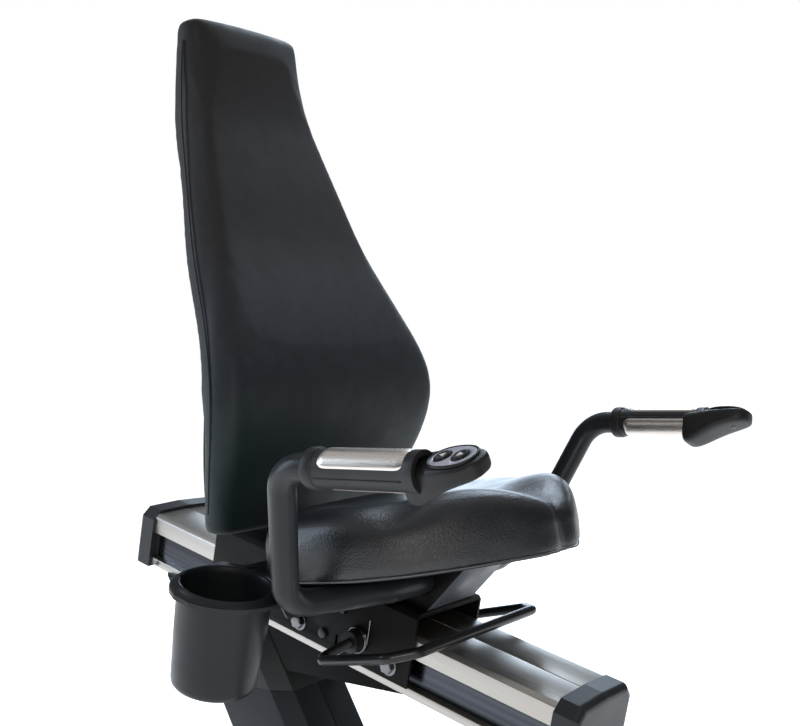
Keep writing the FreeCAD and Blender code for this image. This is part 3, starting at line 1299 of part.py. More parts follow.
doc.recompute()
failed = [thing.Label for thing in doc.Objects if "Invalid" in thing.State or "Error" in thing.State]
if failed:
    raise RuntimeError("failed: %s" % ", ".join(failed))
os.makedirs("parts", exist_ok=True)
for node in NODES:
    shape = node.Shape
    if shape.isNull() or not shape.isValid() or not shape.Solids:
        raise RuntimeError("%s has no valid solid" % node.Label)
    shape.exportStep("parts/%s.step" % node.Label)
print("%d nodes written" % len(NODES))
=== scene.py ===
import itertools
import json
from math import atan2, copysign, cos, exp, hypot, pi, radians, sin, sqrt

import bmesh
import bpy
import numpy as np
from mathutils import Matrix, Vector
from mathutils.bvhtree import BVHTree

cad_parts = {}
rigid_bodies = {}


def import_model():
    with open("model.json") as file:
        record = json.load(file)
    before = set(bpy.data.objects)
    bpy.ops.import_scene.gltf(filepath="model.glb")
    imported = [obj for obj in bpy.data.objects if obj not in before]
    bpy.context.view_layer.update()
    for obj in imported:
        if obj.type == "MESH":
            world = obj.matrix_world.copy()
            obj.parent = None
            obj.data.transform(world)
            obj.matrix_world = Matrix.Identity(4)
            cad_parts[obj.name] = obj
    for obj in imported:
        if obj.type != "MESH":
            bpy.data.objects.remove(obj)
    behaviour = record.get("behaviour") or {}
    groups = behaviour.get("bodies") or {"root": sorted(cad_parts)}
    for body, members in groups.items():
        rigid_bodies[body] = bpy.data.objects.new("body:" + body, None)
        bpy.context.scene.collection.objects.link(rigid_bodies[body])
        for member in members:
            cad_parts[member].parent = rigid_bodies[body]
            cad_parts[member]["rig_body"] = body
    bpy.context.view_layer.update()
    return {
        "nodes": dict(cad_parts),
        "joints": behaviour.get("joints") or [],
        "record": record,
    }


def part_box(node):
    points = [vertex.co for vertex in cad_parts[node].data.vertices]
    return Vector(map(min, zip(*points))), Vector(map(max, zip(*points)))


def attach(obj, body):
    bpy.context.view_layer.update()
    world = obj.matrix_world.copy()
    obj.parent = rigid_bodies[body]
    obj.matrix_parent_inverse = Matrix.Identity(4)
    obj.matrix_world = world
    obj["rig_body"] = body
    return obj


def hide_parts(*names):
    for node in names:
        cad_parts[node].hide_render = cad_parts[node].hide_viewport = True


# The frame holds the bike in metres: +X the way the rider faces, +Y the rider's left, +Z up.
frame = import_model()
NODES = frame["nodes"]
JOINTS = {joint["name"]: joint for joint in frame["joints"]}

MM = 0.001
QUARTER = pi / 2
UP = Vector((0, 0, 1))
# Lays +X across the bike, +Y up and +Z forwards.
ON_EDGE = Matrix.Rotation(QUARTER, 4, "Y") @ Matrix.Rotation(QUARTER, 4, "Z")
SIDES = (("right", -1), ("left", 1))
KEYS = (("rear", -1), ("front", 1))

# The seat rail slopes down towards the pedals.
RAIL_AXIS = Vector(JOINTS["seat_slide"]["axis"])
RAIL_TILT = atan2(-RAIL_AXIS.z, RAIL_AXIS.x)
RAIL_TURN = Matrix.Rotation(RAIL_TILT, 4, "Y")
RAIL_START = Vector((-0.761, 0.0, 0.527))


def rail_point(along, side, above):
    """A point given along the rail, across it, and above its top."""
    return RAIL_START + RAIL_TURN.to_3x3() @ Vector((along, side, above))


def rail_matrix(along, side, above):
    """A matrix at a rail point, square to the rail."""
    return Matrix.Translation(rail_point(along, side, above)) @ RAIL_TURN


def facing(side):
    """A turn that points +Z straight out of one side of the bike."""
    return Matrix.Rotation(-side * QUARTER, 4, "X")


# ---- node helpers

# A noise is taken to be low and high at these values.
NOISE_LOW = 0.3
NOISE_HIGH = 0.7


def scaled(colour, factor):
    """A colour made lighter or darker."""
    return tuple(min(1.0, channel * factor) for channel in colour)


class Shader:
    """A material being built: short calls that add and join nodes."""

    def __init__(self, name):
        self.material = bpy.data.materials.new(name)
        self.material.use_nodes = True
        self.tree = self.material.node_tree
        self.shader = self.tree.nodes["Principled BSDF"]

    def node(self, kind, **inputs):
        made = self.tree.nodes.new(kind)
        for key, value in inputs.items():
            made.inputs[key.replace("_", " ")].default_value = value
        return made

    def link(self, source, target):
        self.tree.links.new(source, target)

    def set(self, **sockets):
        for key, value in sockets.items():
            self.shader.inputs[key.replace("_", " ")].default_value = value

    def place(self, stretch=(1, 1, 1), turn=(0, 0, 0)):
        """The row frame's coordinates, turned and then stretched."""
        coordinate = self.node("ShaderNodeTexCoord")
        mapping = self.node("ShaderNodeMapping", Rotation=turn)
        self.link(coordinate.outputs["Object"], mapping.inputs["Vector"])
        spread = self.node("ShaderNodeMapping", Scale=stretch)
        self.link(mapping.outputs["Vector"], spread.inputs["Vector"])
        return spread.outputs["Vector"]

    def noise(self, vector, scale, detail=3.0, roughness=0.55):
        made = self.node("ShaderNodeTexNoise", Scale=scale, Detail=detail, Roughness=roughness)
        self.link(vector, made.inputs["Vector"])
        return made.outputs["Fac"]

    def cells(self, vector, scale, feature="SMOOTH_F1"):
        made = self.node("ShaderNodeTexVoronoi", Scale=scale)
        made.feature = feature
        self.link(vector, made.inputs["Vector"])
        return made.outputs["Distance"]

    def vector_math(self, operation, first):
        made = self.node("ShaderNodeVectorMath")
        made.operation = operation
        self.link(first, made.inputs[0])
        return made

    def ramp(self, value, stops):
        made = self.node("ShaderNodeValToRGB")
        band = made.color_ramp
        while len(band.elements) < len(stops):
            band.elements.new(0.5)
        for element, (at, colour) in zip(band.elements, stops):
            element.position = at
            element.color = (*colour, 1.0)
        self.link(value, made.inputs["Fac"])
        return made.outputs["Color"]

    def tones(self, value, colour, dark, light, start=NOISE_LOW, stop=NOISE_HIGH):
        """The colour, darker where the value is low and lighter where it is high."""
        return self.ramp(value, [(start, scaled(colour, dark)), (stop, scaled(colour, light))])

    def spread(self, value, low, high, start=NOISE_LOW, stop=NOISE_HIGH):
        """The value's range from start to stop, mapped on to low to high."""
        made = self.node("ShaderNodeMapRange", From_Min=start, From_Max=stop, To_Min=low, To_Max=high)
        self.link(value, made.inputs["Value"])
        return made.outputs["Result"]

    def multiply(self, first, second):
        """One colour multiplied by another."""
        made = self.node("ShaderNodeMix")
        made.data_type = "RGBA"
        made.blend_type = "MULTIPLY"
        inputs = {socket.identifier: socket for socket in made.inputs}
        inputs["Factor_Float"].default_value = 1.0
        self.link(first, inputs["A_Color"])
        self.link(second, inputs["B_Color"])
        outputs = {socket.identifier: socket for socket in made.outputs}
        return outputs["Result_Color"]

    def bump(self, height, strength, depth, under=None):
        made = self.node("ShaderNodeBump", Strength=strength, Distance=depth)
        self.link(height, made.inputs["Height"])
        if under is not None:
            self.link(under, made.inputs["Normal"])
        return made.outputs["Normal"]

    def finish(self, colour, roughness, normal=None):
        for socket, value in (("Base Color", colour), ("Roughness", roughness), ("Normal", normal)):
            if value is not None:
                self.link(value, self.shader.inputs[socket])
        return self.material


# ---- materials

def moulded_plastic(name, colour, rough, grain=1500.0, depth=0.12):
    """Injection-moulded plastic: an even spark-eroded grain, faint tone changes and rubbed patches."""
    make = Shader(name)
    where = make.place()
    tones = make.tones(make.noise(where, 5.0, 4.0), colour, 0.88, 1.12)
    rubbed = make.spread(make.noise(where, 22.0, 5.0), rough - 0.07, rough + 0.07)
    fine = make.bump(make.noise(where, grain, 2.0), 0.35, depth * MM)
    coarse = make.bump(make.noise(where, grain / 6.0, 2.0), 0.12, depth * MM, fine)
    make.set(IOR=1.47, Specular_IOR_Level=0.34)
    return make.finish(tones, rubbed, coarse)


def powder_coat(name, colour, rough, coat, specular=0.32):
    """Baked powder paint on steel: orange-peel ripple, satin gloss, patches rubbed a little smoother."""
    make = Shader(name)
    where = make.place()
    ripple = make.bump(make.cells(where, 420.0), 0.22, 0.25 * MM)
    fine = make.bump(make.noise(where, 1400.0, 2.0), 0.12, 0.08 * MM, ripple)
    tones = make.tones(make.noise(where, 4.0, 3.0), colour, 0.88, 1.14, 0.32, 0.68)
    patches = make.spread(make.noise(where, 16.0, 5.0), rough - 0.05, rough + 0.09)
    make.set(IOR=1.5, Specular_IOR_Level=specular, Coat_Weight=coat, Coat_Roughness=0.2)
    return make.finish(tones, patches, fine)


def brushed_metal(name, colour, stretch, turn, rough, depth, streak):
    """Metal with fine parallel scratches along the direction that the stretch leaves long."""
    make = Shader(name)
    where = make.place(stretch, turn)
    lines = make.noise(where, 900.0, 4.0, 0.7)
    bands = make.noise(where, 120.0, 3.0)
    tones = make.tones(bands, colour, 1 - streak, 1 + streak * 0.5, 0.35, 0.65)
    shine = make.spread(lines, rough - 0.08, rough + 0.12)
    make.set(Metallic=1.0)
    return make.finish(tones, shine, make.bump(lines, 0.25, depth * MM))


def machined_metal(name, colour, rough):
    """Plated or turned steel with slight smudges."""
    make = Shader(name)
    where = make.place()
    smudge = make.noise(where, 60.0, 5.0)
    tones = make.tones(smudge, colour, 0.86, 1.05)
    shine = make.spread(smudge, rough - 0.06, rough + 0.12)
    make.set(Metallic=1.0)
    return make.finish(tones, shine, make.bump(make.noise(where, 1600.0, 2.0), 0.1, 0.03 * MM))


def rubber(name, colour, rough):
    """Soft rubber or foam sleeve with a fine open grain."""
    make = Shader(name)
    where = make.place()
    pores = make.cells(where, 700.0)
    tones = make.tones(make.noise(where, 9.0, 4.0), colour, 0.8, 1.25)
    patches = make.spread(make.noise(where, 30.0, 4.0), rough - 0.08, rough + 0.06)
    make.set(Specular_IOR_Level=0.4)
    return make.finish(tones, patches, make.bump(pores, 0.3, 0.2 * MM))


def cushion_skin(name):
    """Self-skinned foam: small leather-like cells, faint creases between them, a satin shine."""
    make = Shader(name)
    where = make.place()
    bent = make.vector_math("MULTIPLY_ADD", make.noise(where, 160.0, 3.0))
    bent.inputs[1].default_value = (0.004, 0.004, 0.004)
    make.link(where, bent.inputs[2])
    pebble = make.cells(bent.outputs["Vector"], 560.0)
    crease = make.cells(bent.outputs["Vector"], 210.0, "DISTANCE_TO_EDGE")
    first = make.bump(pebble, 0.75, 0.42 * MM)
    second = make.bump(make.spread(crease, 0.0, 1.0, 0.0, 0.12), 0.16, 0.3 * MM, first)
    third = make.bump(make.noise(where, 14.0, 3.0), 0.10, 2.0 * MM, second)
    tones = make.ramp(make.noise(where, 7.0, 4.0),
                      [(NOISE_LOW, (0.006, 0.0072, 0.0098)), (NOISE_HIGH, (0.011, 0.0122, 0.0152))])
    shine = make.spread(make.noise(where, 26.0, 5.0), 0.29, 0.43)
    make.set(IOR=1.5, Specular_IOR_Level=0.62, Coat_Weight=0.08, Coat_Roughness=0.32)
    return make.finish(tones, shine, third)


def upholstery(name):
    """Coated upholstery with a very fine grain; cooler and greener low down, greyer at the lumbar."""
    make = Shader(name)
    where = make.place()
    first = make.bump(make.cells(where, 620.0), 0.38, 0.26 * MM)
    second = make.bump(make.noise(where, 1500.0, 3.0), 0.30, 0.16 * MM, first)
    third = make.bump(make.noise(where, 11.0, 3.0), 0.07, 2.5 * MM, second)
    split = make.node("ShaderNodeSeparateXYZ")
    make.link(where, split.inputs[0])
    # The zones run over the pad's height, from its foot at 0.52 m to its head at 1.17 m.
    height = make.spread(split.outputs["Z"], 0.0, 1.0, 0.52, 1.17)
    zones = make.ramp(height, [(0.0, (0.001, 0.0125, 0.0145)), (0.16, (0.003, 0.0145, 0.0165)),
                               (0.34, (0.016, 0.0195, 0.027)), (0.60, (0.0175, 0.0165, 0.0175)),
                               (1.0, (0.0105, 0.0095, 0.0105))])
    mottled = make.tones(make.noise(where, 48.0, 6.0, 0.65), (1.0, 1.0, 1.0), 0.64, 1.0)
    shine = make.spread(make.noise(where, 20.0, 5.0), 0.50, 0.64)
    make.set(IOR=1.45, Specular_IOR_Level=0.36, Sheen_Weight=0.12, Sheen_Roughness=0.45)
    return make.finish(make.multiply(zones, mottled), shine, third)


def dark_display(name):
    """A dark display behind glass, with a few faint fingerprints."""
    make = Shader(name)
    where = make.place()
    smear = make.noise(where, 35.0, 6.0, 0.7)
    tones = make.ramp(smear, [(NOISE_LOW, (0.004, 0.005, 0.006)), (NOISE_HIGH, (0.010, 0.011, 0.013))])
    shine = make.spread(smear, 0.06, 0.18, 0.35, 0.75)
    make.set(IOR=1.52, Coat_Weight=0.5, Coat_Roughness=0.04)
    return make.finish(tones, shine, make.bump(smear, 0.02, 0.2 * MM))


def cast_iron(name):
    """Rough cast iron under thin paint."""
    make = Shader(name)
    sand = make.noise(make.place(), 420.0, 5.0, 0.7)
    tones = make.ramp(sand, [(NOISE_LOW, (0.06, 0.06, 0.062)), (NOISE_HIGH, (0.12, 0.12, 0.122))])
    make.set(Metallic=0.7)
    return make.finish(tones, make.spread(sand, 0.45, 0.65, 0.0, 1.0), make.bump(sand, 0.5, 0.5 * MM))


def glow(name, colour, strength):
    """A lit mark on the display."""
    make = Shader(name)
    where = make.place()
    tones = make.tones(make.noise(where, 300.0, 2.0), colour, 0.85, 1.0, 0.2, 0.8)
    make.link(tones, make.shader.inputs["Emission Color"])
    make.set(Emission_Strength=strength)
    return make.finish(tones, make.spread(make.noise(where, 90.0), 0.3, 0.4, 0.0, 1.0))


def studio_floor(name):
    """A pale floor that glows more with distance, so that it has no horizon."""
    make = Shader(name)
    where = make.place()
    tones = make.ramp(make.noise(where, 1.5, 3.0),
                      [(NOISE_LOW, (0.93, 0.93, 0.93)), (NOISE_HIGH, (0.95, 0.95, 0.95))])
    distance = make.vector_math("LENGTH", where)
    glow_far = make.spread(distance.outputs["Value"], 0.72, 1.0, 1.1, 3.4)
    make.set(Emission_Color=(1.0, 1.0, 1.0, 1.0), Specular_IOR_Level=0.1)
    make.link(glow_far, make.shader.inputs["Emission Strength"])
    return make.finish(tones, make.spread(make.noise(where, 6.0), 0.75, 0.85, 0.0, 1.0))


TURN_TO_RAIL = (0.0, -RAIL_TILT, 0.0)
LONG_STREAKS = (0.004, 1, 1)
SHORT_STREAKS = (0.02, 1, 1)
# Each paint: how it is made, its name, and what its maker takes after the name.
PAINTS = (
    (powder_coat, "frame_paint", (0.019, 0.021, 0.024), 0.36, 0.12),
    (powder_coat, "handle_paint", (0.014, 0.0165, 0.0195), 0.36, 0.06, 0.28),
    (powder_coat, "carriage_paint", (0.0035, 0.0034, 0.0033), 0.50, 0.0, 0.14),
    (powder_coat, "support_paint", (0.085, 0.094, 0.110), 0.42, 0.05),
    (powder_coat, "lever_paint", (0.010, 0.010, 0.011), 0.30, 0.25),
    (brushed_metal, "rail_aluminium", (0.50, 0.475, 0.445), LONG_STREAKS, TURN_TO_RAIL, 0.34, 0.004, 0.03),
    # A dark metal for the sheets in the rail's side channels: painted shade in the recess, not the rail's own
    # colour.
    (brushed_metal, "channel_metal", (0.075, 0.080, 0.095), LONG_STREAKS, TURN_TO_RAIL, 0.20, 0.02, 0.5),
    (brushed_metal, "pulse_steel", (0.80, 0.735, 0.68), SHORT_STREAKS, (0, 0, 0), 0.30, 0.04, 0.10),
    (moulded_plastic, "cover_plastic", (0.016, 0.019, 0.022), 0.46),
    (moulded_plastic, "collar_plastic", (0.014, 0.015, 0.016), 0.46),
    (moulded_plastic, "shell_plastic", (0.020, 0.022, 0.024), 0.55, 1200.0, 0.2),
    (moulded_plastic, "housing_plastic", (0.030, 0.032, 0.036), 0.42),
    (moulded_plastic, "black_plastic", (0.012, 0.012, 0.013), 0.40),
    (moulded_plastic, "cap_plastic", (0.020, 0.022, 0.026), 0.33),
    (moulded_plastic, "cup_plastic", (0.012, 0.014, 0.016), 0.36),
    (moulded_plastic, "pale_plastic", (0.36, 0.37, 0.38), 0.45),
    (moulded_plastic, "bead_plastic", (0.10, 0.105, 0.11), 0.42),
    (moulded_plastic, "face_plate", (0.47, 0.47, 0.54), 0.34),
    (moulded_plastic, "button_plastic", (0.014, 0.014, 0.015), 0.30),
    (moulded_plastic, "white_print", (0.78, 0.78, 0.78), 0.4),
    (rubber, "grip_rubber", (0.010, 0.010, 0.011), 0.48),
    (rubber, "foot_rubber", (0.020, 0.020, 0.021), 0.72),
    (machined_metal, "bolt_steel", (0.20, 0.20, 0.21), 0.20),
    (machined_metal, "machined_steel", (0.42, 0.42, 0.42), 0.3),
    (cast_iron, "flywheel_iron"),
    (cushion_skin, "seat_skin"),
    (upholstery, "back_skin"),
    (dark_display, "screen_glass"),
    (glow, "display_glow", (0.35, 0.62, 0.80), 0.9),
    (glow, "display_dim", (0.10, 0.16, 0.20), 0.35),
    (studio_floor, "studio_floor"),
)
PAINT = {name: maker(name, *looks) for maker, name, *looks in PAINTS}


# ---- mesh helpers

def paint_only(mesh, paint):
    """Makes one paint the mesh's only material."""
    mesh.materials.clear()
    mesh.materials.append(PAINT[paint])


def new_object(name, data):
    """An object in the scene that holds some data."""
    made = bpy.data.objects.new(name, data)
    bpy.context.scene.collection.objects.link(made)
    return made


def add_object(name, mesh, paint, body="carriage", slot=None):
    """Puts a mesh in the scene with its paint, riding on a body; the slot argument is not used."""
    slot = slot or paint
    mesh.name = name
    piece = new_object(name, mesh)
    paint_only(mesh, paint)
    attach(piece, body)
    return piece


def from_bmesh(shape, smooth_angle):
    """A mesh from a bmesh: outward faces, smooth except at sharp edges."""
    bmesh.ops.recalc_face_normals(shape, faces=shape.faces)
    limit = radians(smooth_angle)
    for edge in shape.edges:
        edge.smooth = len(edge.link_faces) == 2 and edge.calc_face_angle(0.0) < limit
    for face in shape.faces:
        face.smooth = True
    mesh = bpy.data.meshes.new("piece")
    shape.to_mesh(mesh)
    shape.free()
    return mesh


def settle(piece):
    """Applies a piece's modifiers to its mesh."""
    graph = bpy.context.evaluated_depsgraph_get()
    done = bpy.data.meshes.new_from_object(piece.evaluated_get(graph))
    piece.modifiers.clear()
    old = piece.data
    piece.data = done
    bpy.data.meshes.remove(old)


def subdivide(piece, levels):
    """Catmull-Clark subdivision, applied."""
    modifier = piece.modifiers.new("subdivision", "SUBSURF")
    modifier.levels = levels
    modifier.render_levels = levels
    settle(piece)


def angles(count):
    """The angles of an even ring of points."""
    return [2 * pi * step / count for step in range(count)]


def polar(radius, angle, height):
    """A point at a radius and an angle about Z."""
    return Vector((radius * cos(angle), radius * sin(angle), height))


def squared(value, power):
    """A sine or cosine with its size raised to a power; under one, it makes a round outline squarer."""
    return copysign(abs(value) ** power, value)


def mirrored(half):
    """A half outline followed by its mirror image; the second number of each row is the one across."""
    return half + [(first, -across, *rest) for first, across, *rest in reversed(half[1:-1])]


def new_rows(shape, rings):
    """The vertices of some rows of points."""
    return [[shape.verts.new(point) for point in ring] for ring in rings]


def join_rows(shape, rows, ring=True):
    """Joins rows of vertices with four-sided faces; a ring also joins each row's last to its first."""
    for low, high in zip(rows, rows[1:]):
        for index in range(len(low) if ring else len(low) - 1):
            after = (index + 1) % len(low)
            shape.faces.new((low[index], low[after], high[after], high[index]))


def rings_mesh(rings, smooth_angle):
    """A skin over closed rings of equal point counts, with its ends filled."""
    shape = bmesh.new()
    rows = new_rows(shape, rings)
    join_rows(shape, rows)
    count = len(rings[0])
    for row in (rows[0], rows[-1]):
        centre = sum((vert.co for vert in row), Vector()) / count
        hub = shape.verts.new(centre)
        for index in range(count):
            shape.faces.new((row[index], row[(index + 1) % count], hub))
    return from_bmesh(shape, smooth_angle)


def lathe(profile, segments, matrix, smooth_angle=30.0):
    """A profile of (radius, height) points turned about Z, then placed."""
    shape = bmesh.new()
    rows = []
    for radius, height in profile:
        turned = [polar(radius, angle, height) for angle in angles(segments)] if radius else [UP * height]
        rows.append([shape.verts.new(matrix @ point) for point in turned])
    for low, high in zip(rows, rows[1:]):
        for step in range(segments):
            after = (step + 1) % segments
            places = ((low, step), (low, after), (high, after), (high, step))
            corners = list(dict.fromkeys(row[index % len(row)] for row, index in places))
            if len(corners) > 2:
                shape.faces.new(corners)
    return from_bmesh(shape, smooth_angle)


def slab(outline, low, high, edge, matrix, steps=3):
    """A plate of a plan outline between two heights, with both rims rounded by the edge size."""
    flat = [Vector((x, y, 0)) for x, y in outline]
    count = len(flat)
    inward = []
    area = 0.0
    for index, point in enumerate(flat):
        following = flat[(index + 1) % count]
        ahead = following - flat[index - 1]
        inward.append(Vector((-ahead.y, ahead.x, 0)).normalized())
        area += point.x * following.y - following.x * point.y
    if area < 0:
        inward = [-direction for direction in inward]
    bends = [QUARTER * step / steps for step in range(steps + 1)]
    levels = [(edge * (1 - sin(bend)), low + edge * (1 - cos(bend))) for bend in bends]
    levels += [(edge * (1 - sin(bend)), high - edge * (1 - cos(bend))) for bend in reversed(bends)]
    rings = [[matrix @ (point + way * inset + UP * height) for point, way in zip(flat, inward)]
             for inset, height in levels]
    return rings_mesh(rings, 32.0)


def oval(length, width, count=48, power=2.0):
    """Points of a superellipse outline."""
    return [(squared(cos(angle), 2 / power) * length / 2, squared(sin(angle), 2 / power) * width / 2)
            for angle in angles(count)]


def stadium(length, width, count):
    """Points of a straight-sided outline with half-round ends."""
    radius = width / 2
    straight = length / 2 - radius
    points = []
    for angle in angles(count):
        x = radius * cos(angle - QUARTER)
        points.append((copysign(straight, x) + x, radius * sin(angle - QUARTER)))
    return points


def tube_along(line, radius, segments, closed=False):
    """A round bead along a line of points."""
    count = len(line)
    rings = []
    side = None
    for index, point in enumerate(line):
        if closed:
            heading = line[(index + 1) % count] - line[index - 1]
        else:
            heading = line[min(index + 1, count - 1)] - line[max(index - 1, 0)]
        heading.normalize()
        if side is None:
            side = heading.orthogonal().normalized()
        side = (side - heading * side.dot(heading)).normalized()
        other = heading.cross(side)
        rings.append([point + (side * cos(angle) + other * sin(angle)) * radius
                      for angle in angles(segments)])
    if not closed:
        return rings_mesh(rings, 80.0)
    shape = bmesh.new()
    rows = new_rows(shape, rings)
    join_rows(shape, rows + rows[:1])
    return from_bmesh(shape, 80.0)


def source_slot(node):
    """The record's slot of a CAD node."""
    return next(entry["material_slot"] for entry in frame["record"]["subparts"] if entry["node"] == node)


def soften(node, width, paint):
    """A copy of a CAD node whose sharp edges are really rounded; the node itself is hidden."""
    source = NODES[node]
    shape = bmesh.new()
    shape.from_mesh(source.data)
    bmesh.ops.remove_doubles(shape, verts=shape.verts, dist=2e-6)
    bmesh.ops.dissolve_limit(shape, angle_limit=radians(0.6), verts=shape.verts, edges=shape.edges)
    mesh = bpy.data.meshes.new("piece")
    shape.to_mesh(mesh)
    shape.free()
    piece = add_object(node + "_soft", mesh, paint, source["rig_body"], source_slot(node))
    modifier = piece.modifiers.new("bevel", "BEVEL")
    modifier.width = width
    modifier.segments = 2
    modifier.limit_method = "ANGLE"
    modifier.angle_limit = radians(28.0)
    settle(piece)
    shape = bmesh.new()
    shape.from_mesh(piece.data)
    bmesh.ops.triangulate(shape, faces=[face for face in shape.faces if len(face.verts) > 4])
    piece.data = from_bmesh(shape, 40.0)
    paint_only(piece.data, paint)
    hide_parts(node)
    return piece


def paint_side_shade(piece, paint):
    """Gives the faces that look sideways a second, much darker material: painted shade on the sides against a
    lighter top.
    """
    piece.data.materials.append(PAINT[paint])
    for face in piece.data.polygons:
        if abs(face.normal.y) > 0.7:
            face.material_index = 1


def repaint(node, paint):
    """Gives a CAD node that stays a better material."""
    mesh = NODES[node].data
    if not mesh.materials:
        mesh.materials.append(PAINT[paint])
    for index in range(len(mesh.materials)):
        mesh.materials[index] = PAINT[paint]


def points_of(mesh):
    """A mesh's points as an array."""
    flat = np.empty(len(mesh.vertices) * 3)
    mesh.vertices.foreach_get("co", flat)
    return flat.reshape(-1, 3)


CLOTH = {"quality": 6, "mass": 0.3, "tension_stiffness": 25, "compression_stiffness": 25,
         "shear_stiffness": 12, "bending_stiffness": 4, "use_pressure": True}


def inflate(piece, voxel, pressure, cap, freedom=None, frames=20):
    """Puffs a closed skin with Cloth pressure; the freedom of a point, 0 to 1, scales how far it may go."""
    remesh = piece.modifiers.new("remesh", "REMESH")
    remesh.mode = "VOXEL"
    remesh.voxel_size = voxel
    settle(piece)
    start = points_of(piece.data)
    cloth = piece.modifiers.new("cloth", "CLOTH")
    for key, value in CLOTH.items():
        setattr(cloth.settings, key, value)
    cloth.settings.uniform_pressure_force = pressure
    cloth.settings.effector_weights.gravity = 0
    cloth.collision_settings.use_collision = False
    cloth.point_cache.frame_start = 1
    cloth.point_cache.frame_end = frames
    scene = bpy.context.scene
    for step in range(1, frames + 1):
        scene.frame_set(step)
    settle(piece)
    scene.frame_set(1)
    shift = points_of(piece.data) - start
    length = np.linalg.norm(shift, axis=1)
    keep = np.minimum(1.0, cap / np.maximum(length, 1e-9))
    if freedom:
        keep *= np.array([freedom(Vector(point)) for point in start])
    piece.data.vertices.foreach_set("co", (start + shift * keep[:, None]).ravel())
    piece.data.update()


def finish_padded(piece, paint, node):
    """Smooths and paints a puffed cushion, and hides the padded node whose place it takes."""
    subdivide(piece, 1)
    paint_only(piece.data, paint)
    for face in piece.data.polygons:
        face.use_smooth = True
    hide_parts(node)


# ---- seat cushion

# The cushion's own frame: its origin under the middle of the widest part, +X to the nose, +Z up.
SEAT = Matrix.Translation((-0.320, 0.0, 0.4975)) @ Matrix.Rotation(radians(-6.0), 4, "Y")
SEAT_HALF = 0.196
SEAT_NOSE = 0.186
SEAT_TAIL = 0.145
# Half of the plan: shares of the nose or the tail length, and of the half width.
NOSE_PLAN = ((1, 0), (0.955, 0.17), (0.80, 0.43), (0.66, 0.63), (0.46, 0.83), (0.20, 0.965))
TAIL_PLAN = ((0.08, 1), (0.45, 0.965), (0.78, 0.84), (0.965, 0.52), (1, 0))
# The underside and the lower wall: shares of the plan, and heights.
SEAT_WALL = ((0.50, 0.0), (0.75, 0.0), (0.90, 0.0), (0.97, 0.0), (0.992, 0.0025), (1.0, 0.009), (1.0, 0.018))
# The upper wall and the top: shares of the plan, from the widest part to the middle.
SEAT_TOP = (0.999, 0.994, 0.982, 0.963, 0.935, 0.90, 0.86, 0.81, 0.75, 0.68, 0.60, 0.51, 0.42,
            0.33, 0.24, 0.16, 0.08)
SHOULDER = 4.4
PIN_HEIGHT = 0.025


def smooth_loop(points, count):
    """A closed smooth curve through the points, sampled evenly by parameter."""
    total = len(points)
    sampled = []
    for step in range(count):
        place = step * total / count
        index = int(place)
        share = place - index
        nearby = [points[(index + offset) % total] for offset in (-1, 0, 1, 2)]
        result = []
        for axis in range(2):
            a, b, c, d = (point[axis] for point in nearby)
            result.append(0.5 * ((2 * b) + (c - a) * share + (2 * a - 5 * b + 4 * c - d) * share ** 2
                                 + (3 * b - a - 3 * c + d) * share ** 3))
        sampled.append(tuple(result))
    return sampled


def hump(distance, width):
    """A smooth hump of height one."""
    return exp(-(distance / width) ** 2)


def seat_plan(count):
    """The cushion's plan: a blunt nose with a small cleft, widest just behind the middle."""
    half = [(SEAT_NOSE * along, SEAT_HALF * across) for along, across in NOSE_PLAN]
    half += [(-SEAT_TAIL * along, SEAT_HALF * across) for along, across in TAIL_PLAN]
    loop = smooth_loop(mirrored(half), count)
    return [(x - (0.008 * hump(y, 0.014) if x > 0 else 0.0), y) for x, y in loop]


def cushion_height(x, y, share):
    """Height of the cushion's top before its shoulders fall away: bolsters, a hollow and two thigh lobes."""
    rim = 0.027 * share ** 2
    lobes = 0.007 * hump(x - 0.120, 0.055) * hump(abs(y) - 0.090, 0.050)
    valley = -0.020 * hump(x - 0.165, 0.070) * hump(y - 0.010, 0.042)
    waist = -0.010 * hump(x - 0.075, 0.034) * hump(abs(y) - 0.165, 0.040)
    return 0.062 + rim + lobes + valley + waist


def build_cushion():
    """The moulded cushion: bolsters, thigh lobes with a valley between them, and a hollow to sit in."""
    plan = seat_plan(132)
    rings = [[Vector((x * share, y * share, height)) for x, y in plan] for share, height in SEAT_WALL]
    for share in SEAT_TOP:
        fall = max(0.0, 1 - (share * 0.998) ** SHOULDER) ** (1 / SHOULDER)
        rings.append([Vector((x * share, y * share, cushion_height(x * share, y * share, share) * fall))
                      for x, y in plan])
    mesh = rings_mesh([[SEAT @ point for point in ring] for ring in rings], 80.0)
    cushion = add_object("cushion", mesh, "seat_skin")
    to_seat = SEAT.inverted()

    def freedom(point):
        """None at the lower edge, which stays on its bead, and full from PIN_HEIGHT up."""
        return min(1.0, max(0.0, (to_seat @ point).z / PIN_HEIGHT))

    inflate(cushion, voxel=4.0 * MM, pressure=1.2, cap=2.5 * MM, freedom=freedom)
    finish_padded(cushion, "seat_skin", "seat_cushion")


def build_seat_trim():
    """The bead where the skin is welded to the pan, and the pan itself with a rolled rim."""
    plan = seat_plan(160)
    under = -3 * MM
    line = [SEAT @ Vector((x * 0.984, y * 0.984, 0.0006)) for x, y in plan]
    bead = tube_along(line, 1.0 * MM, 10, closed=True)
    add_object("cushion_bead", bead, "bead_plastic", slot="black_plastic")
    edge = [(x * 0.925, y * 0.925) for x, y in plan]
    pan = add_object("seat_tray", slab(edge, under, 0.5 * MM, 1.2 * MM, SEAT), "black_plastic")
    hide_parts("seat_pan")
    down = SEAT.to_3x3() @ Vector((0, 0, -1))
    for x in (-0.06, 0.03, 0.11):
        for y in (-0.068, 0.068):
            screw(SEAT @ Vector((x, y, under)), down, 5 * MM, "carriage", "pan_screw")


SCREW_NUMBERS = itertools.count(1)


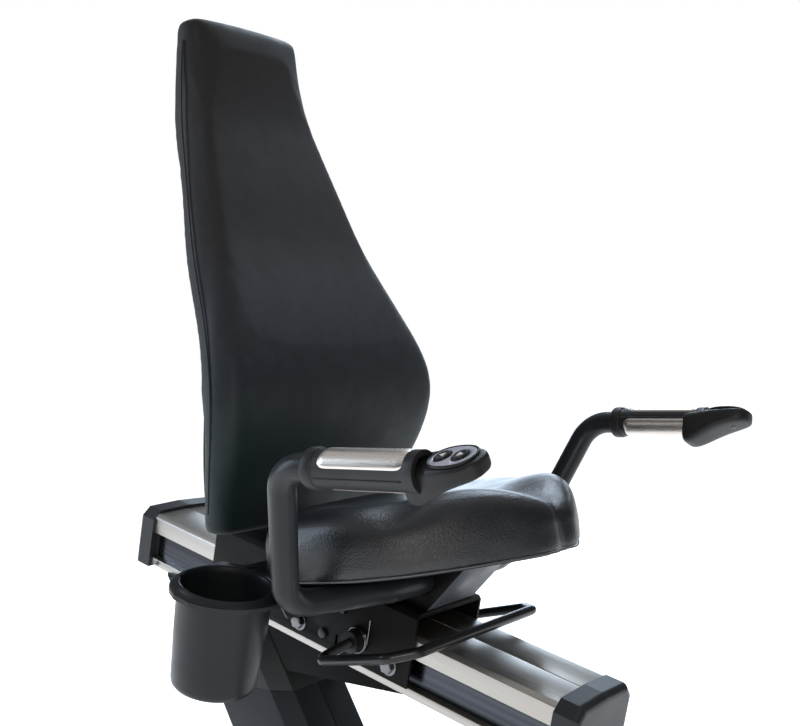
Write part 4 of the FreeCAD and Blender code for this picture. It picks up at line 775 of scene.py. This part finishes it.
def screw(point, normal, radius, body, label):
    """A pan-head screw with a hexagon socket."""
    turn = Vector(normal).to_track_quat("Z", "Y").to_matrix().to_4x4()
    high = radius * 0.62
    profile = [(radius, 0.0), (radius, high * 0.45), (radius * 0.86, high * 0.85), (radius * 0.6, high),
               (radius * 0.46, high), (radius * 0.44, high * 0.45), (0.0, high * 0.40)]
    mesh = lathe(profile, 24, Matrix.Translation(point) @ turn)
    add_object("%s_%02d" % (label, next(SCREW_NUMBERS)), mesh, "bolt_steel", body)


# ---- back rest

# Level sections of half the pad and half the shell, from the middle of one face to the middle of the other.
# Each row is the share of the depth from the rear, the share of the half width, and the crown added forwards.
PAD_SECTION = [(0.0, 0.0, 0.0), (0.0, 0.45, 0.0), (0.0, 0.82, 0.0), (0.02, 0.955, 0.0), (0.08, 0.985, 0.0),
               (0.30, 1.010, 0.0), (0.50, 1.012, 0.0), (0.70, 0.992, 0.0), (0.86, 0.962, 0.0),
               (0.945, 0.938, 0.0), (0.985, 0.905, 0.0), (1.0, 0.85, 0.001), (1.0, 0.70, 0.002),
               (1.0, 0.40, 0.003), (1.0, 0.0, 0.0035)]
SHELL_SECTION = [(0.95, 0.0, 0.0), (0.95, 0.6, 0.0), (0.95, 0.95, 0.0), (0.9, 0.985, 0.0), (0.6, 1.0, 0.0),
                 (0.2, 0.99, 0.0), (0.0, 0.95, 0.0), (0.0, 0.60, 0.0), (-0.15, 0.34, 0.0), (-0.9, 0.26, 0.0),
                 (-1.1, 0.20, 0.0), (-1.1, 0.0, 0.0)]


def profile_of(node, levels):
    """Front x, rear x and half width of a CAD solid at each height, read from its mesh by rays."""
    mesh = NODES[node].data
    points = [vertex.co.copy() for vertex in mesh.vertices]
    tree = BVHTree.FromPolygons(points, [tuple(face.vertices) for face in mesh.polygons])
    off_centre = 0.003
    rows = []
    for level in levels:
        front = tree.ray_cast(Vector((1.0, off_centre, level)), Vector((-1, 0, 0)))[0]
        rear = tree.ray_cast(Vector((-2.0, off_centre, level)), Vector((1, 0, 0)))[0]
        side = tree.ray_cast(Vector(((front.x + rear.x) / 2, 1.0, level)), Vector((0, -1, 0)))[0]
        rows.append([front.x, rear.x, side.y])
    table = np.array(rows)
    for _ in range(2):
        table[1:-1] = 0.25 * table[:-2] + 0.5 * table[1:-1] + 0.25 * table[2:]
    return table


def back_sections(levels, table, half_section):
    """Closed level sections, one at each level."""
    section = mirrored(half_section)
    return [[Vector((rear + (front - rear) * depth + crown, half * width, level))
             for depth, width, crown in section]
            for level, (front, rear, half) in zip(levels, table)]


def round_end(rings, sign, rise):
    """Extra rings past an end of the pad, shrinking to round it off."""
    last = rings[-1] if sign > 0 else rings[0]
    centre = sum(last, Vector()) / len(last)
    middle = (max(point.x for point in last) + min(point.x for point in last)) / 2
    extra = []
    for share in (0.35, 0.7, 1.0):
        angle = QUARTER * share
        across = 1 - 0.10 * (1 - cos(angle))
        thick = 1 - 0.55 * (1 - cos(angle))
        ring = []
        for point in last:
            arch = 0.35 * rise * (1 - (point.y / 0.1) ** 2) if sign > 0 else 0.0
            height = centre.z + sign * (rise * sin(angle)) + arch * share
            ring.append(Vector((middle + (point.x - middle) * thick, point.y * across, height)))
        extra.append(ring)
    return rings + extra if sign > 0 else extra[::-1] + rings


def build_back_pad():
    """The upholstered back: narrow at the head, a full lumbar bulge, soft rounded rim."""
    low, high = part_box("back_pad")
    levels = np.linspace(low.z + 0.009, high.z - 0.007, 34)
    table = profile_of("back_pad", levels)
    rings = round_end(round_end(back_sections(levels, table, PAD_SECTION), 1, 0.010), -1, 0.008)
    pad = add_object("back_cushion", rings_mesh(rings, 80.0), "back_skin")
    subdivide(pad, 1)
    inflate(pad, voxel=4.5 * MM, pressure=1.5, cap=3.5 * MM)
    finish_padded(pad, "back_skin", "back_pad")
    for label, side in SIDES:
        line = [Vector((rear + (front - rear) * 0.44, side * (half * 0.9875 + 0.0028), level))
                for level, (front, rear, half) in list(zip(levels, table))[1:-1]]
        add_object("back_seam_" + label, tube_along(line, 1.2 * MM, 10), "back_skin")


def build_back_shell():
    """The moulded shell behind the pad: a rolled rim and a raised spine."""
    low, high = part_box("back_shell")
    levels = np.linspace(low.z + 0.004, high.z - 0.004, 30)
    rings = back_sections(levels, profile_of("back_shell", levels), SHELL_SECTION)
    cover = add_object("back_cover", rings_mesh(rings, 50.0), "shell_plastic", slot="cover_plastic")
    subdivide(cover, 1)
    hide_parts("back_shell")


# ---- grips, pods and buttons

# Places along a grip, from the front end of its tube.
GRIP_START = -0.126
GRIP_STOP = 0.004
PLATE_START = -0.105
PLATE_STOP = -0.006
PLATE_SPAN = radians(60)
PLATE_STEPS = 24
# The sleeve's half section: radius in millimetres, the end it is measured from, and how far from it.
GRIP_PROFILE = ((14.3, GRIP_START, 0), (18.4, GRIP_START, 0), (19.6, GRIP_START, 0.0012),
                (20.2, GRIP_START, 0.003), (20.2, GRIP_START, 0.0105), (19.6, GRIP_START, 0.0125),
                (18.5, GRIP_START, 0.0135), (18.4, GRIP_START, 0.0180), (18.6, GRIP_START, 0.024),
                (18.6, GRIP_STOP, -0.012), (19.4, GRIP_STOP, -0.010), (19.6, GRIP_STOP, 0),
                (14.3, GRIP_STOP, 0))
# Sections of a pod from root to tip: place along it, half width, bottom, top, and flare at the bottom.
POD_STATIONS = ((-0.0500, 0.0176, -0.0360, -0.0010, 0.02), (-0.0480, 0.0192, -0.0388, -0.0002, 0.03),
                (-0.0420, 0.0204, -0.0396, 0.0006, 0.04), (-0.0340, 0.0212, -0.0372, 0.0006, 0.06),
                (-0.0240, 0.0226, -0.0322, 0.0012, 0.08), (-0.0130, 0.0236, -0.0268, 0.0013, 0.07),
                (-0.0020, 0.0238, -0.0226, 0.0013, 0.04), (0.0090, 0.0230, -0.0196, 0.0013, 0.02),
                (0.0180, 0.0208, -0.0177, 0.0011, 0.0), (0.0245, 0.0174, -0.0164, 0.0006, 0.0),
                (0.0285, 0.0132, -0.0153, -0.0002, 0.0), (0.0304, 0.0086, -0.0144, -0.0012, 0.0),
                (0.0310, 0.0036, -0.0136, -0.0026, 0.0))
POD_FACE = (0.0450, 0.0370)
POD_FACE_POWER = 2.25
POD_FACE_SHIFT = 0.001
KEY_SHIFT = 9.5 * MM
# A key from its foot to its dished top: shares of its outline, and heights.
KEY_LEVELS = ((1.0, -0.0030), (1.0, 0.0026), (0.97, 0.0033), (0.90, 0.0037), (0.72, 0.0035), (0.4, 0.0031))


def grip_frame(side):
    """A matrix with +Z along the grip, forwards, at the front end of the tube; +X points up."""
    front = Vector((-0.108, side * 0.293, 0.633))
    elbow = Vector((-0.273, side * 0.2965, 0.632))
    heading = (front - elbow).normalized()
    up = (UP - heading * UP.dot(heading)).normalized()
    turn = Matrix((up, heading.cross(up), heading)).transposed().to_4x4()
    return Matrix.Translation(front) @ turn


def build_grip(side, label):
    """The moulded sleeve: an end collar, a waist and a parting ridge on both sides."""
    place = grip_frame(side)
    profile = [(radius * MM, end + distance) for radius, end, distance in GRIP_PROFILE]
    sleeve = add_object("grip_" + label, lathe(profile, 56, place), "grip_rubber")
    steps = 24
    first = GRIP_START + 0.016
    for part, end in ((-1, "out"), (1, "in")):
        angle = radians(part * 90 - side * 24)
        line = [place @ polar(18.7 * MM, angle, first + (GRIP_STOP - GRIP_START - 0.030) * step / steps)
                for step in range(steps + 1)]
        add_object("grip_ridge_%s_%s" % (label, end), tube_along(line, 0.9 * MM, 8), "grip_rubber")
    return sleeve


def build_pulse_plate(side, middle, name):
    """A thin stainless plate let into the sleeve, with rounded corners and turned-in rims."""
    place = grip_frame(side)
    rows = []
    for i in range(PLATE_STEPS + 1):
        along = PLATE_START + (PLATE_STOP - PLATE_START) * i / PLATE_STEPS
        near_end = min(along - PLATE_START, PLATE_STOP - along)
        squeeze = 1.0 - max(0.0, 1 - near_end / 0.010) ** 2 * 0.16
        end_drop = 1.3 * MM * max(0.0, 1 - near_end / 0.0012)
        row = []
        for j in range(PLATE_STEPS + 1):
            share = -1 + 2 * j / PLATE_STEPS
            radius = 19.7 * MM - 1.4 * MM * max(0.0, abs(share) - 0.9) / 0.1 - end_drop
            row.append(place @ polar(radius, middle + share * PLATE_SPAN * squeeze, along))
        rows.append(row)
    shape = bmesh.new()
    join_rows(shape, new_rows(shape, rows), ring=False)
    plate = add_object(name, from_bmesh(shape, 40.0), "pulse_steel")
    modifier = plate.modifiers.new("thickness", "SOLIDIFY")
    modifier.thickness = 0.9 * MM
    modifier.offset = -1
    settle(plate)
    return plate


def pod_matrix(side):
    """A matrix at the middle of the pod's face: +X forward, +Z out of the face, leaning outwards."""
    lean = Matrix.Rotation(radians(-side * 22.0), 4, "X") @ Matrix.Rotation(radians(-4.0), 4, "Y")
    return Matrix.Translation((-0.077, side * 0.289, 0.6455)) @ lean


def pod_section(x, half, low, high, flare):
    """One section across the pod: a rounded box, a little wider at the bottom."""
    ring = []
    for angle in angles(36):
        sine = sin(angle)
        y = squared(cos(angle), 0.5) * half
        z = (low + high) / 2 + squared(sine, 0.5) * (high - low) / 2
        if sine < 0:
            y *= 1.0 - flare * sine
        ring.append(Vector((x, y, z)))
    return ring


def pierce(piece, outline, place):
    """Cuts an opening of the given outline through a thin piece."""
    cutter = new_object("opening", slab(outline, -0.004, 0.006, 0.0001, place, 1))
    modifier = piece.modifiers.new("opening", "BOOLEAN")
    modifier.operation = "DIFFERENCE"
    modifier.solver = "EXACT"
    modifier.object = cutter
    settle(piece)
    bpy.data.objects.remove(cutter)


def build_pod(side, label):
    """The control paddle: it grows out of the sleeve, widens under the thumb and has a blunt round tip."""
    place = pod_matrix(side)
    rings = [[place @ point for point in pod_section(*station)] for station in POD_STATIONS]
    pod = add_object("pod_" + label, rings_mesh(rings, 70.0), "black_plastic")
    subdivide(pod, 2)
    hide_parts("button_pod_" + label)
    outline = [(x + POD_FACE_SHIFT, y) for x, y in oval(*POD_FACE, 72, POD_FACE_POWER)]
    plate = slab(outline, 0.0006, 0.0020, 0.0007, place)
    face = add_object("pod_plate_" + label, plate, "face_plate", slot="pulse_steel")
    for _, way in KEYS:
        pierce(face, [(x + KEY_SHIFT * way, y) for x, y in oval(0.0152, 0.0190, 40)], place)
    rim = [place @ Vector((x * 1.04 + POD_FACE_SHIFT, y * 1.05, 0.0012))
           for x, y in oval(*POD_FACE, 80, POD_FACE_POWER)]
    add_object("pod_rim_" + label, tube_along(rim, 1.3 * MM, 10, closed=True), "black_plastic")
    for which, way in KEYS:
        ring = [place @ Vector((x + KEY_SHIFT * way, y, 0.0020)) for x, y in oval(0.0160, 0.0196, 48)]
        bead = tube_along(ring, 0.55 * MM, 8, closed=True)
        add_object("pod_ring_%s_%s" % (label, which), bead, "black_plastic")
    normal = place.to_3x3() @ Vector((0.26, 0, -1)).normalized()
    screw(place @ Vector((0.010, 0, -0.0190)), normal, 2.8 * MM, "carriage", "pod_screw")


def build_button(side, label, which, way):
    """An oval key with a dished top and a raised arrow."""
    place = pod_matrix(side) @ Matrix.Translation((KEY_SHIFT * way, 0, 0))
    ending = "%s_%s" % (label, which)
    rings = [[place @ Vector((x * share, y * share, height)) for x, y in oval(0.0138, 0.0174, 40)]
             for share, height in KEY_LEVELS]
    key = add_object("key_" + ending, rings_mesh(rings, 45.0), "button_plastic", "push_" + ending)
    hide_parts("button_" + ending)
    arrow = [(3.4 * MM * way, 0.0), (-2.0 * MM * way, 3.3 * MM), (-2.0 * MM * way, -3.3 * MM)]
    mark = slab(arrow[::way], 0.0030, 0.0039, 0.0002, place, 1)
    add_object("key_" + ending + "_mark", mark, "white_print", "push_" + ending, "button_plastic")


def build_hand_controls():
    """Each side's sleeve, pulse plates, pod and keys."""
    for label, side in SIDES:
        grip = build_grip(side, label)
        plate = build_pulse_plate(side, radians(-side * 24), "pulse_top_" + label)
        build_pulse_plate(side, radians(180 - side * 52), "pulse_low_" + label)
        if side < 0:
            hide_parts("grip_sleeves")
            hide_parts("grip_plates")
        build_pod(side, label)
        for which, way in KEYS:
            build_button(side, label, which, way)


# ---- bottle holder

# The cup's own frame: its origin in the middle of the mouth, +Y across the bike to the carriage, +Z up.
CUP = Matrix.Translation((-0.457, -0.207, 0.483)) @ Matrix.Rotation(RAIL_TILT, 4, "Y")
CUP_PROFILE = ((0.0, -0.1180), (0.040, -0.1180), (0.0445, -0.1168), (0.0475, -0.1135), (0.0486, -0.109),
               (0.0500, -0.085), (0.0518, -0.055), (0.0534, -0.018), (0.0538, -0.0085), (0.0560, -0.0070),
               (0.0600, -0.0066), (0.0612, -0.0052), (0.0615, -0.0030), (0.0606, -0.0012), (0.0580, -0.0004),
               (0.0564, 0.0008), (0.0550, 0.0034), (0.0530, 0.0044), (0.0511, 0.0034), (0.0502, 0.0006),
               (0.0498, -0.0030), (0.0490, -0.030), (0.0472, -0.070), (0.0452, -0.104), (0.0440, -0.1110),
               (0.0400, -0.1140), (0.0, -0.1145))
SHELF_HALF = 0.064
SHELF_REACH = 0.1435
SHELF_DROP = 0.015
SHELF_STEPS = 32
CUP_OPENING = 0.0525


def cup_shelf():
    """A sheet round the cup's mouth that dips and runs on to the carriage, 5 mm thick."""
    shape = bmesh.new()
    rows = []
    for step in range(SHELF_STEPS + 1):
        across = -SHELF_HALF + (SHELF_REACH + SHELF_HALF) * step / SHELF_STEPS
        past = across - 0.010
        half = SHELF_HALF if past > 0 else sqrt(max(0.0, SHELF_HALF ** 2 - past ** 2 * 0.74))
        half = max(half, 0.012)
        share = min(1.0, max(0.0, (across - 0.045) / 0.055))
        height = -0.0012 - (SHELF_DROP - 0.0012) * share * share * (3 - 2 * share)
        rows.append([CUP @ Vector((-half + 2 * half * column / SHELF_STEPS - 0.003 * share, across, height))
                     for column in range(SHELF_STEPS + 1)])
    rows = new_rows(shape, rows)
    to_cup = CUP.inverted()
    for low, high in zip(rows, rows[1:]):
        for column in range(SHELF_STEPS):
            middle = sum((to_cup @ vert.co for vert in (low[column], high[column + 1])), Vector()) / 2
            if hypot(middle.x, middle.y) > CUP_OPENING:
                shape.faces.new((low[column], low[column + 1], high[column + 1], high[column]))
    bmesh.ops.delete(shape, geom=[vert for vert in shape.verts if not vert.link_faces], context="VERTS")
    bmesh.ops.recalc_face_normals(shape, faces=shape.faces)
    up = CUP.to_3x3() @ UP
    if sum((face.normal.dot(up) for face in shape.faces)) < 0:
        bmesh.ops.reverse_faces(shape, faces=shape.faces)
    bmesh.ops.solidify(shape, geom=shape.faces[:], thickness=0.005)
    return from_bmesh(shape, 50.0)


def build_cup():
    """The bottle holder: a lathe-turned cup with a rolled lip, and the shelf that carries it."""
    cup = add_object("bottle_cup", lathe(CUP_PROFILE, 96, CUP, 38.0), "cup_plastic")
    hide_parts("cup_holder")
    add_object("bottle_shelf", cup_shelf(), "cup_plastic")
    top, foot = -SHELF_DROP - 0.001, -SHELF_DROP - 0.026
    bracket = [(0.060, foot), (0.060, top), (-0.069, top), (-0.069, foot)]
    upright = Matrix.Rotation(QUARTER, 4, "X")
    place = CUP @ Matrix.Translation((0, SHELF_REACH, 0)) @ upright
    add_object("bottle_bracket", slab(bracket, 0.0, 0.004, 0.001, place), "cup_plastic")
    rib = [(0.034, -0.0065), (0.090, -0.0125), (0.140, -SHELF_DROP - 0.006), (0.140, -SHELF_DROP - 0.024),
           (0.052, -0.030)]
    for end, x in (("rear", -0.056), ("front", 0.050)):
        place = CUP @ Matrix.Translation((x, 0, 0)) @ ON_EDGE
        add_object("bottle_rib_" + end, slab(rib, -0.0016, 0.0016, 0.0006, place), "cup_plastic")
    for x in (-0.045, 0.036):
        point = CUP @ Vector((x, SHELF_REACH - 0.004, -SHELF_DROP - 0.015))
        screw(point, Vector((0, -1, 0)), 4.5 * MM, "carriage", "bottle_screw")


# ---- small hardware

# Places along the rail, out from its middle, and above its top.
RAIL_MIDDLE = 0.327
CHANNEL_WALL = 0.0470
CAP_OUTSIDE = 0.057
ROLLER_ABOVE = -0.046
PLATE_OUTSIDE = 0.0635
LEVER_ALONG = 0.390
LEVER_ABOVE = -0.033


def build_rail_trim():
    """Pale end panels on the caps, dark sheets that line the rail's side channels as painted shade, and the
    cap screws.
    """
    for node, direction in (("rail_cap_front", 1), ("rail_cap_rear", -1)):
        low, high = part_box(node)
        normal = RAIL_AXIS * direction
        down = RAIL_AXIS.cross(Vector((0, 1, 0))) * -1
        turn = Matrix((Vector((0, -direction, 0)), down, normal)).transposed().to_4x4()
        place = Matrix.Translation((low + high) / 2 + normal * 0.0150) @ turn
        panel = slab(oval(0.090, 0.050, 72, 7.0), -0.0005, 0.0008, 0.0006, place)
        add_object(node + "_panel", panel, "pale_plastic", "frame", "black_plastic")
    for label, side in SIDES:
        place = rail_matrix(RAIL_MIDDLE, side * CHANNEL_WALL, ROLLER_ABOVE) @ facing(side)
        # Each channel sheet is dark: painted shade where the rail's side channel is recessed.
        sheet = slab(oval(0.650, 0.0354, 96, 60.0), 0.00005, 0.00030, 0.0001, place, 1)
        add_object("rail_channel_" + label, sheet, "channel_metal", "frame", source_slot("seat_rail"))
        for along, above in ((0.640, -0.0685), (0.014, -0.069)):
            point = rail_point(along, side * CAP_OUTSIDE, above)
            screw(point, Vector((0, side, 0)), 3.0 * MM, "frame", "rail_screw")


def hexagon_head(place):
    """Rings of a hexagon bolt's head: chamfered corners, a washer face and a domed top."""
    rings = []
    for inset, height in ((0.0004, 0.0016), (0.0, 0.0020), (0.0, 0.0064), (0.0010, 0.0076), (0.0026, 0.0080)):
        ring = []
        for angle in angles(24):
            corner = cos(pi / 6) / cos((angle % (pi / 3)) - pi / 6)
            ring.append(place @ polar(min(0.0088 * corner, 0.0093) - inset, angle, height))
        rings.append(ring)
    return rings


def build_bolts():
    """The roller axles' hexagon heads and washers, and the lever's pivot bosses."""
    washer = [(0.0, 0.0), (0.0112, 0.0), (0.0114, 0.0004), (0.0112, 0.0014), (0.0105, 0.0016), (0.0, 0.0016)]
    shank = [(0.0, -0.0155), (0.005, -0.0155), (0.005, -0.004), (0.0, -0.004)]
    for index, along in enumerate((0.295, 0.440)):
        for label, side in SIDES:
            place = rail_matrix(along, side * PLATE_OUTSIDE, ROLLER_ABOVE) @ facing(side)
            name = "axle_bolt_%d_%s" % (index, label)
            add_object(name + "_washer", lathe(washer, 40, place), "bolt_steel")
            add_object(name, rings_mesh(hexagon_head(place), 25.0), "bolt_steel")
            add_object(name + "_shank", lathe(shank, 24, place, 35.0), "bolt_steel")
    boss = [(0.0, 0.0), (0.0150, 0.0), (0.0150, 0.0015), (0.0110, 0.0022), (0.0070, 0.0023), (0.0070, 0.0090),
            (0.0, 0.0092)]
    for label, side in SIDES:
        place = rail_matrix(LEVER_ALONG, side * PLATE_OUTSIDE, LEVER_ABOVE) @ facing(side)
        piece = add_object("lever_boss_" + label, lathe(boss, 40, place), "lever_paint", slot="bolt_steel")
        if side < 0:
            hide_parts("carriage_bolts")


def build_lever_spring():
    """The torsion spring round the right-hand lever boss, and its straight tail."""
    radius, turns, last, start, rise = 0.0148, 2.2, 59, 0.0012, 0.0040
    place = rail_matrix(LEVER_ALONG, -0.0640, LEVER_ABOVE) @ facing(-1)
    line = [place @ Vector((radius, 0.030, start))]
    line += [place @ polar(radius, 2 * pi * turns * step / last, start + rise * step / last)
             for step in range(last + 1)]
    add_object("lever_spring", tube_along(line, 1.0 * MM, 8), "bolt_steel")


def build_pedal(side, label):
    """A moulded pedal: a thin body, a weighted belly below it and six tread bars on top."""
    centre = Vector(JOINTS["pedal_%s_spin" % label]["pos_m"])
    low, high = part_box("pedal_" + label)
    body = "pedal_unit_" + label
    half = (high.x - low.x) / 2
    width = high.y - low.y
    middle = Vector((centre.x, side * (min(abs(low.y), abs(high.y)) + width / 2), centre.z))
    place = Matrix.Translation(middle)
    shell = slab(oval(2 * half, width, 64, 6.0), -0.010, 0.006, 0.004, place)
    first = add_object("pedal_body_" + label, shell, "black_plastic", body)
    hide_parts("pedal_" + label)
    belly = slab(oval(0.052, width - 0.012, 48, 5.0), -0.0255, -0.010, 0.006, place)
    add_object("pedal_belly_" + label, belly, "black_plastic", body)
    for index in range(6):
        x = -half + 0.012 + index * (2 * half - 0.024) / 5
        place = Matrix.Translation(middle + Vector((x, 0, 0)))
        bar = slab(oval(0.0055, width - 0.016, 24, 6.0), 0.005, 0.0080, 0.001, place)
        add_object("pedal_tread_%s_%d" % (label, index), bar, "black_plastic", body)


CRANK_OUTSIDE = 0.092
HOUSING_OUTSIDE = 0.0675


def crank_place(side, face):
    """A matrix on the crank axis, at a distance out from the middle of the bike, with +Z outwards."""
    centre = Vector(JOINTS["crank_spin"]["pos_m"])
    return Matrix.Translation((centre.x, side * face, centre.z)) @ facing(side)


def build_crank_caps():
    """Dust caps over the crank bolts."""
    profile = [(0.0, 0.0), (0.0135, 0.0), (0.0140, 0.0008), (0.0130, 0.0030), (0.0105, 0.0042),
               (0.0100, 0.0038), (0.0, 0.0036)]
    for label, side in SIDES:
        cap = lathe(profile, 40, crank_place(side, CRANK_OUTSIDE))
        add_object("crank_cap_" + label, cap, "black_plastic", "cranks")


def build_housing_trim():
    """Accent discs round the crank holes, vent slots and shell screws."""
    profile = [(0.0300, -0.003), (0.0300, 0.0035), (0.034, 0.0048), (0.080, 0.0040), (0.086, 0.0025),
               (0.088, -0.0005)]
    slope = Matrix.Rotation(radians(68), 4, "Z")
    for label, side in SIDES:
        disc = lathe(profile, 96, crank_place(side, HOUSING_OUTSIDE))
        add_object("crank_cover_" + label, disc, "cover_plastic", "frame", "housing_plastic")
        for index in range(7):
            spot = Vector((0.560 + index * 0.016, side * 0.0676, 0.250 + index * 0.002))
            vent = slab(stadium(0.070 - 0.004 * index, 0.006, 24), -0.0004, 0.0010, 0.0004,
                        Matrix.Translation(spot) @ facing(side) @ slope)
            add_object("vent_%s_%d" % (label, index), vent, "black_plastic", "frame")
        for x, z in ((0.268, 0.135), (0.718, 0.135), (0.300, 0.430), (0.668, 0.430)):
            screw(Vector((x, side * 0.0678, z)), Vector((0, side, 0)), 4.0 * MM, "frame", "housing_screw")


def build_console_trim():
    """Keys under the display and a simple bar graph on it, with no lettering."""
    tilt = Matrix.Rotation(radians(18.0), 4, "Y")
    face = Matrix.Translation((0.408, 0.0, 1.185)) @ tilt @ Matrix.Rotation(pi, 4, "Z")
    for index in range(5):
        spot = face @ Matrix.Translation((0.0, -0.080 + 0.040 * index, -0.087)) @ ON_EDGE
        key = slab(stadium(0.026, 0.014, 32), -0.001, 0.0022, 0.0008, spot)
        add_object("console_key_%d" % index, key, "cover_plastic", "frame", "black_plastic")
    half = 0.0045
    for index in range(14):
        tall = 0.012 + 0.040 * (0.5 + 0.5 * sin(index * 0.9))
        spot = face @ Matrix.Translation((-0.0009, -0.104 + 0.016 * index, -0.030 + tall / 2)) @ ON_EDGE
        outline = [(-half, -tall / 2), (half, -tall / 2), (half, tall / 2), (-half, tall / 2)]
        bar = slab(outline, -0.0002, 0.0004, 0.0001, spot, 1)
        paint = "display_glow" if index % 3 else "display_dim"
        add_object("display_bar_%02d" % index, bar, paint, "frame", "screen_glass")


# ---- build

# CAD nodes that are copied with rounded edges: the width of the rounding in millimetres, and the paint.
SOFTENED = (
    ("carriage_plate", 0.8, "carriage_paint"), ("seat_support", 1.0, "support_paint"),
    ("rail_bracket", 1.2, "carriage_paint"), ("post_cover_right", 2.2, "cover_plastic"),
    ("post_cover_left", 2.2, "cover_plastic"), ("post_collar", 2.2, "collar_plastic"),
    ("seat_rail", 0.5, "rail_aluminium"), ("spine_beam", 2.0, "frame_paint"),
    ("rear_stabilizer", 2.0, "frame_paint"), ("front_stabilizer", 1.5, "frame_paint"),
    ("back_upright", 1.5, "frame_paint"), ("console_housing", 1.5, "cover_plastic"),
    ("crank_right", 1.2, "lever_paint"), ("crank_left", 1.2, "lever_paint"),
    ("pedal_strap_right", 0.8, "foot_rubber"), ("pedal_strap_left", 0.8, "foot_rubber"),
    ("power_inlet", 0.8, "black_plastic"), ("lock_shoe", 0.6, "lever_paint"),
)
# CAD nodes that stay as they are, under the paint that they get.
KEPT = {
    "black_plastic": ("stabilizer_caps", "drive_pulley", "rollers_rear", "rollers_front"),
    "cap_plastic": ("rail_cap_front", "rail_cap_rear"),
    "flywheel_iron": ("flywheel",),
    "foot_rubber": ("levelling_feet", "drive_belt", "transport_wheel_right", "transport_wheel_left"),
    "frame_paint": ("seat_post", "drive_frame", "mast"),
    "grip_rubber": ("front_grips",),
    "handle_paint": ("handle_tube_right", "handle_tube_left", "front_handlebar"),
    "housing_plastic": ("housing_right", "housing_left"),
    "lever_paint": ("release_lever",),
    "machined_steel": ("axle_bearings", "flywheel_axle", "crank_axle", "flywheel_pulley"),
    "screen_glass": ("console_screen",),
}

build_cushion()
build_seat_trim()
build_back_pad()
build_back_shell()
build_hand_controls()
build_cup()
build_rail_trim()
build_bolts()
build_lever_spring()
for side_label, side_sign in SIDES:
    build_pedal(side_sign, side_label)
build_crank_caps()
build_housing_trim()
build_console_trim()
for soft_node, width_mm, soft_paint in SOFTENED:
    softened = soften(soft_node, width_mm * MM, soft_paint)
    if soft_node == "seat_support":
        # The seat support's sideways faces get the near-black carriage paint and its top and bottom a lighter
        # one: painted light and shade by facing.
        paint_side_shade(softened, "carriage_paint")
for kept_paint, kept_nodes in KEPT.items():
    for kept_node in kept_nodes:
        repaint(kept_node, kept_paint)


# ---- studio

SEAT_MIDDLE = (-0.30, 0.0, 0.65)
WHITE = (1.0, 1.0, 1.0)
WARM = (1.0, 0.93, 0.85)
COOL = (0.70, 0.84, 1.0)
# Each light: its place, what it is aimed at, its width and height, its power and its tint.
LIGHTS = {
    "overhead": ((0.0, 0.0, 4.2), (0.0, 0.0, 0.0), (9.0, 9.0), 88, WHITE),
    "key": ((1.8, -2.2, 1.5), SEAT_MIDDLE, (0.8, 0.5), 19, WARM),
    "rim": ((-2.2, -1.3, 1.3), SEAT_MIDDLE, (0.35, 1.6), 18, COOL),
    "hair": ((-0.9, 1.7, 2.6), SEAT_MIDDLE, (1.0, 0.6), 26, COOL),
    "window": ((-1.9, 2.6, 1.15), (-0.30, 0.0, 0.5), (2.2, 0.9), 31, COOL),
}


def build_floor():
    """A flat pale floor, much larger than the bike."""
    mesh = bpy.data.meshes.new("floor")
    half = 14.0
    mesh.from_pydata([(-half, -half, 0), (half, -half, 0), (half, half, 0), (-half, half, 0)], [], [range(4)])
    mesh.materials.append(PAINT["studio_floor"])
    floor = new_object("floor", mesh)


def add_light(name, place, target, size, power, tint):
    """A soft rectangular light aimed at a point."""
    data = bpy.data.lights.new(name, "AREA")
    data.shape = "RECTANGLE"
    data.size, data.size_y = size
    data.energy = power
    data.color = tint
    light = new_object(name, data)
    light.location = place
    light.rotation_euler = (Vector(target) - Vector(place)).to_track_quat("-Z", "Y").to_euler()
    light.visible_camera = False


def build_world():
    """A dim cool surround that the camera sees as white."""
    bpy.context.scene.view_settings.view_transform = "Standard"
    world = bpy.data.worlds.new("studio")
    world.use_nodes = True
    nodes = world.node_tree.nodes
    links = world.node_tree.links
    lit = nodes["Background"]
    lit.inputs["Color"].default_value = (0.90, 0.95, 1.0, 1.0)
    lit.inputs["Strength"].default_value = 0.11
    seen = nodes.new("ShaderNodeBackground")
    seen.inputs["Color"].default_value = (*WHITE, 1.0)
    seen.inputs["Strength"].default_value = 1.0
    path = nodes.new("ShaderNodeLightPath")
    mix = nodes.new("ShaderNodeMixShader")
    links.new(path.outputs["Is Camera Ray"], mix.inputs[0])
    links.new(lit.outputs[0], mix.inputs[1])
    links.new(seen.outputs[0], mix.inputs[2])
    links.new(mix.outputs[0], nodes["World Output"].inputs["Surface"])
    bpy.context.scene.world = world


def build_camera():
    """The camera, at the height of the back rest, looking across the seat from its front right."""
    data = bpy.data.cameras.new("camera")
    data.sensor_width = 36.0
    data.lens = 50.315
    azimuth = radians(51.13)
    lift = radians(0.471)
    roll = radians(-2.209)
    back = Vector((cos(azimuth) * cos(lift), -sin(azimuth) * cos(lift), sin(lift)))
    right = (-back).cross(UP).normalized()
    up = right.cross(-back)
    turn = Matrix((right, up, back)).transposed() @ Matrix.Rotation(roll, 3, "Z")
    camera = new_object("camera", data)
    camera.matrix_world = Matrix.Translation((0.4822, -1.0481, 0.7349)) @ turn.to_4x4()
    bpy.context.scene.camera = camera


build_floor()
build_world()
for light_name, light_settings in LIGHTS.items():
    add_light(light_name, *light_settings)
build_camera()
